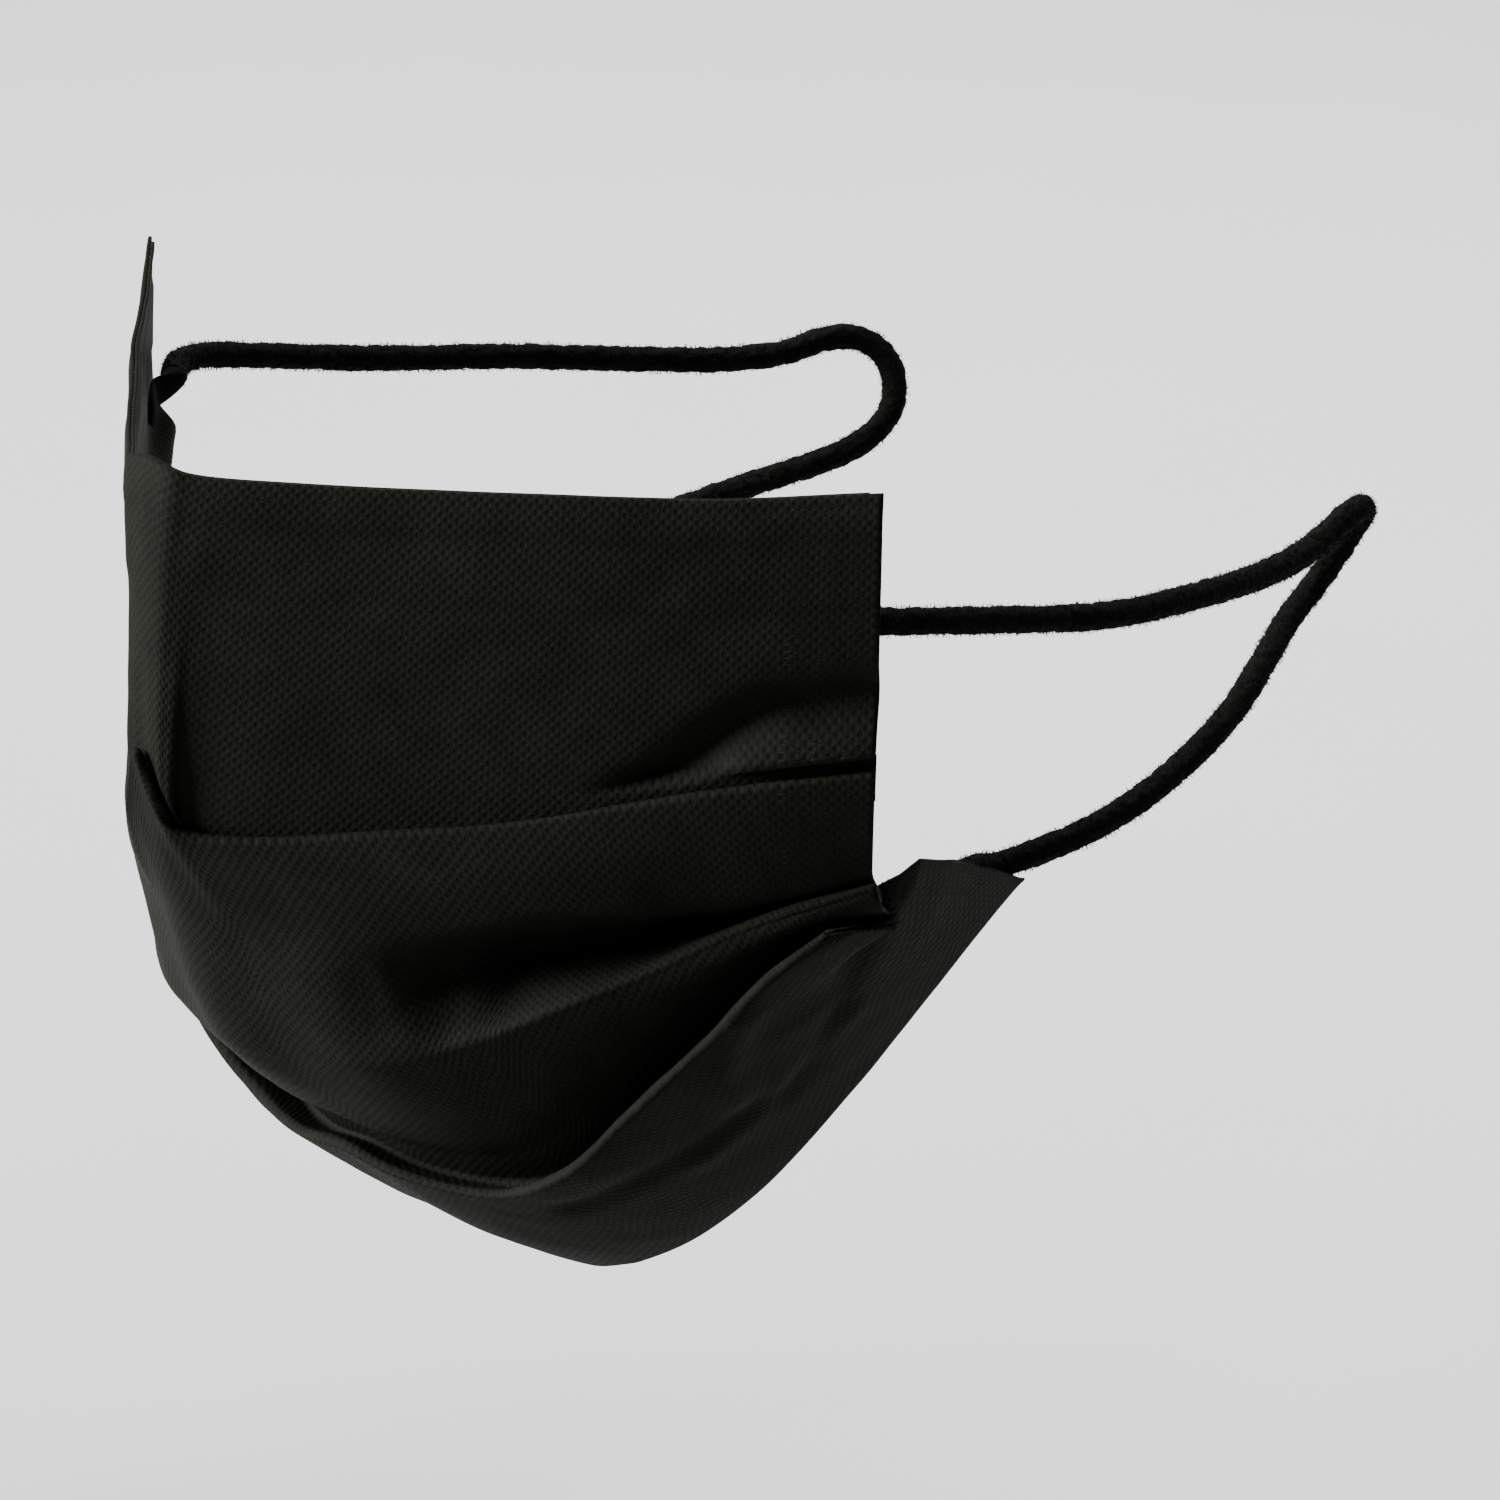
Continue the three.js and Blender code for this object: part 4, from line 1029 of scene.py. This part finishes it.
class MASK_OT_seals(bpy.types.Operator):
    """Makes the rows of small melted marks along the sides, the hems and the wire's channel"""
    bl_idname = "mask.seals"
    bl_label = "Seals"

    def execute(self, context):
        scene = context.scene
        cloth_materials(scene)
        sizes = scene.mask_sizes
        sheet = sheet_of(sizes)
        melted = bpy.data.materials["Melted polypropylene of the seals"]
        for label, side in SIDES:
            marks = [(panel, across * side, SEAL_START + SEAL_PITCH * k, length, SEAL_WIDTH)
                     for panel, height in SEALED_PANELS for across, length in SEAL_COLUMNS
                     for k in range(int(height / SEAL_PITCH) - SEALS_LEFT_OUT)]
            self.build(f"seal_marks_{label}", sheet, sizes, marks, melted)
        marks = [(UPPER_PANEL, pitch * k - HEM_MARKS_REACH, down, length, width)
                 for down, pitch, length, width in HEM_MARKS
                 for k in range(int(2 * HEM_MARKS_REACH / pitch) + 1)]
        self.build("hem_marks_top", sheet, sizes, marks, melted)
        return {"FINISHED"}

    def build(self, name, sheet, sizes, marks, material):
        """Flat drops that stand a little out of the cloth: (panel, across, down, length, width)."""
        bm = bmesh.new()
        bmesh.ops.create_uvsphere(bm, u_segments=8, v_segments=5, radius=1)
        drop = bpy.data.meshes.new(name)
        bm.to_mesh(drop)
        ball = np.array([tuple(v.co) for v in drop.vertices])
        bm.clear()
        for _ in marks:
            bm.from_mesh(drop)
        mesh = mesh_from(bm, name)
        bpy.data.meshes.remove(drop)
        placed = []
        for panel, across, down, length, width in marks:
            point, out, right, below = sheet.place(panel, across, down)
            middle = point + out * (sizes.cloth_thickness / MM / 2 - MARK_SINK)
            ways = np.array([right * length / 2, below * width / 2, out * MARK_HEIGHT])
            placed.append(middle + ball @ ways)
        mesh.vertices.foreach_set("co", (np.concatenate(placed) * MM).ravel())
        mesh.update()
        return finish_object(name, mesh, [material])


class MASK_OT_declare_cloth(bpy.types.Operator):
    """Takes no step of its own and finishes at once"""
    bl_idname = "mask.declare_cloth"
    bl_label = "Cloth facts"

    def execute(self, context):
        return {"FINISHED"}


class MASK_OT_stage(bpy.types.Operator):
    """Makes the pale floor with its backdrop and the soft lights"""
    bl_idname = "mask.stage"
    bl_label = "Stage"

    def execute(self, context):
        scene = context.scene
        stage = scene.mask_stage
        turn = stage.azimuth
        right = Vector((math.cos(turn), math.sin(turn), 0))
        away = Vector((-math.sin(turn), math.cos(turn), 0))
        bm = bmesh.new()
        bmesh.ops.create_grid(bm, x_segments=2, y_segments=60, size=1)
        for vert in bm.verts:
            run = (vert.co.y + 1) / 2 * PAPER_LENGTH - PAPER_FRONT
            past = max(run - PAPER_FLAT, 0) / PAPER_RADIUS
            bend = min(past, math.pi / 2)
            rise = PAPER_RADIUS * (1 - math.cos(bend) + past - bend)
            run = min(run, PAPER_FLAT + PAPER_RADIUS * math.sin(bend))
            vert.co = (right * vert.co.x * PAPER_HALF_WIDTH + away * run
                       + Vector((0, 0, stage.floor_height + rise)))
        mesh = mesh_from(bm, "Floor")
        floor = bpy.data.objects.new("Floor", mesh)
        scene.collection.objects.link(floor)
        for polygon in mesh.polygons:
            polygon.use_smooth = True
        mesh.materials.append(self.paper(stage.floor_colour))
        world = bpy.data.worlds.new("Studio")
        scene.world = world
        world.use_nodes = True
        background = next(n for n in world.node_tree.nodes if n.type == "BACKGROUND")
        background.inputs["Color"].default_value = (1, 1, 1, 1)
        background.inputs["Strength"].default_value = stage.room_light
        for name, power, size, across, near, up in LIGHTS:
            data = bpy.data.lights.new(name, "AREA")
            data.shape = "SQUARE"
            data.energy, data.size = getattr(stage, power), size
            lamp = bpy.data.objects.new(name, data)
            from_target = right * across - away * near + Vector((0, 0, up))
            lamp.location = Vector(LAMP_TARGET) + from_target
            lamp.rotation_euler = (-from_target).to_track_quat("-Z", "Y").to_euler()
            scene.collection.objects.link(lamp)
        # The key light is flagged off the floor, so that little of it comes back up from below.
        lit = bpy.data.collections.new("Lit by the key light")
        for made in scene.collection.objects:
            if made.type == "MESH" and made is not floor:
                lit.objects.link(made)
        bpy.data.objects["Key"].light_linking.receiver_collection = lit
        return {"FINISHED"}

    def paper(self, colour):
        """Matt background paper with a faint unevenness of 50 mm."""
        made, tree, shader = new_material("Matt background paper", colour, **{"Roughness": 0.9})
        cloud = object_noise(tree, Scale=20.0, Detail=2.0)
        shade_base(tree, shader, colour, map_range(tree, cloud, 0.3, 0.7, 0.985, 1.0))
        return made


STEPS = (MASK_OT_camera, MASK_OT_ear_loops, MASK_OT_body, MASK_OT_hems, MASK_OT_nose_wire,
         MASK_OT_loop_ends, MASK_OT_seals, MASK_OT_declare_cloth, MASK_OT_stage)


class VIEW3D_PT_surgical_mask(bpy.types.Panel):
    """The mask's steps and settings"""
    bl_label = "Pleated Surgical Mask"
    bl_idname = "VIEW3D_PT_surgical_mask"
    bl_space_type = "VIEW_3D"
    bl_region_type = "UI"
    bl_category = "Mask"

    def draw(self, context):
        scene = context.scene
        for settings in (scene.mask_sizes, scene.mask_colours, scene.mask_stage):
            box = self.layout.box()
            for key in settings.__annotations__:
                box.prop(settings, key)
        for step in STEPS:
            self.layout.operator(step.bl_idname)


CLASSES = (MaskSizes, MaskColours, MaskStage, *STEPS, VIEW3D_PT_surgical_mask)


def register():
    for item in CLASSES:
        bpy.utils.register_class(item)
    bpy.types.Scene.mask_sizes = bpy.props.PointerProperty(type=MaskSizes)
    bpy.types.Scene.mask_colours = bpy.props.PointerProperty(type=MaskColours)
    bpy.types.Scene.mask_stage = bpy.props.PointerProperty(type=MaskStage)


def unregister():
    for key in ("mask_sizes", "mask_colours", "mask_stage"):
        delattr(bpy.types.Scene, key)
    for item in reversed(CLASSES):
        bpy.utils.unregister_class(item)


def main():
    """Builds the whole mask and its stage."""
    register()
    for step in STEPS:
        group, name = step.bl_idname.split(".")
        getattr(getattr(bpy.ops, group), name)()


if __name__ == "__main__":
    main()
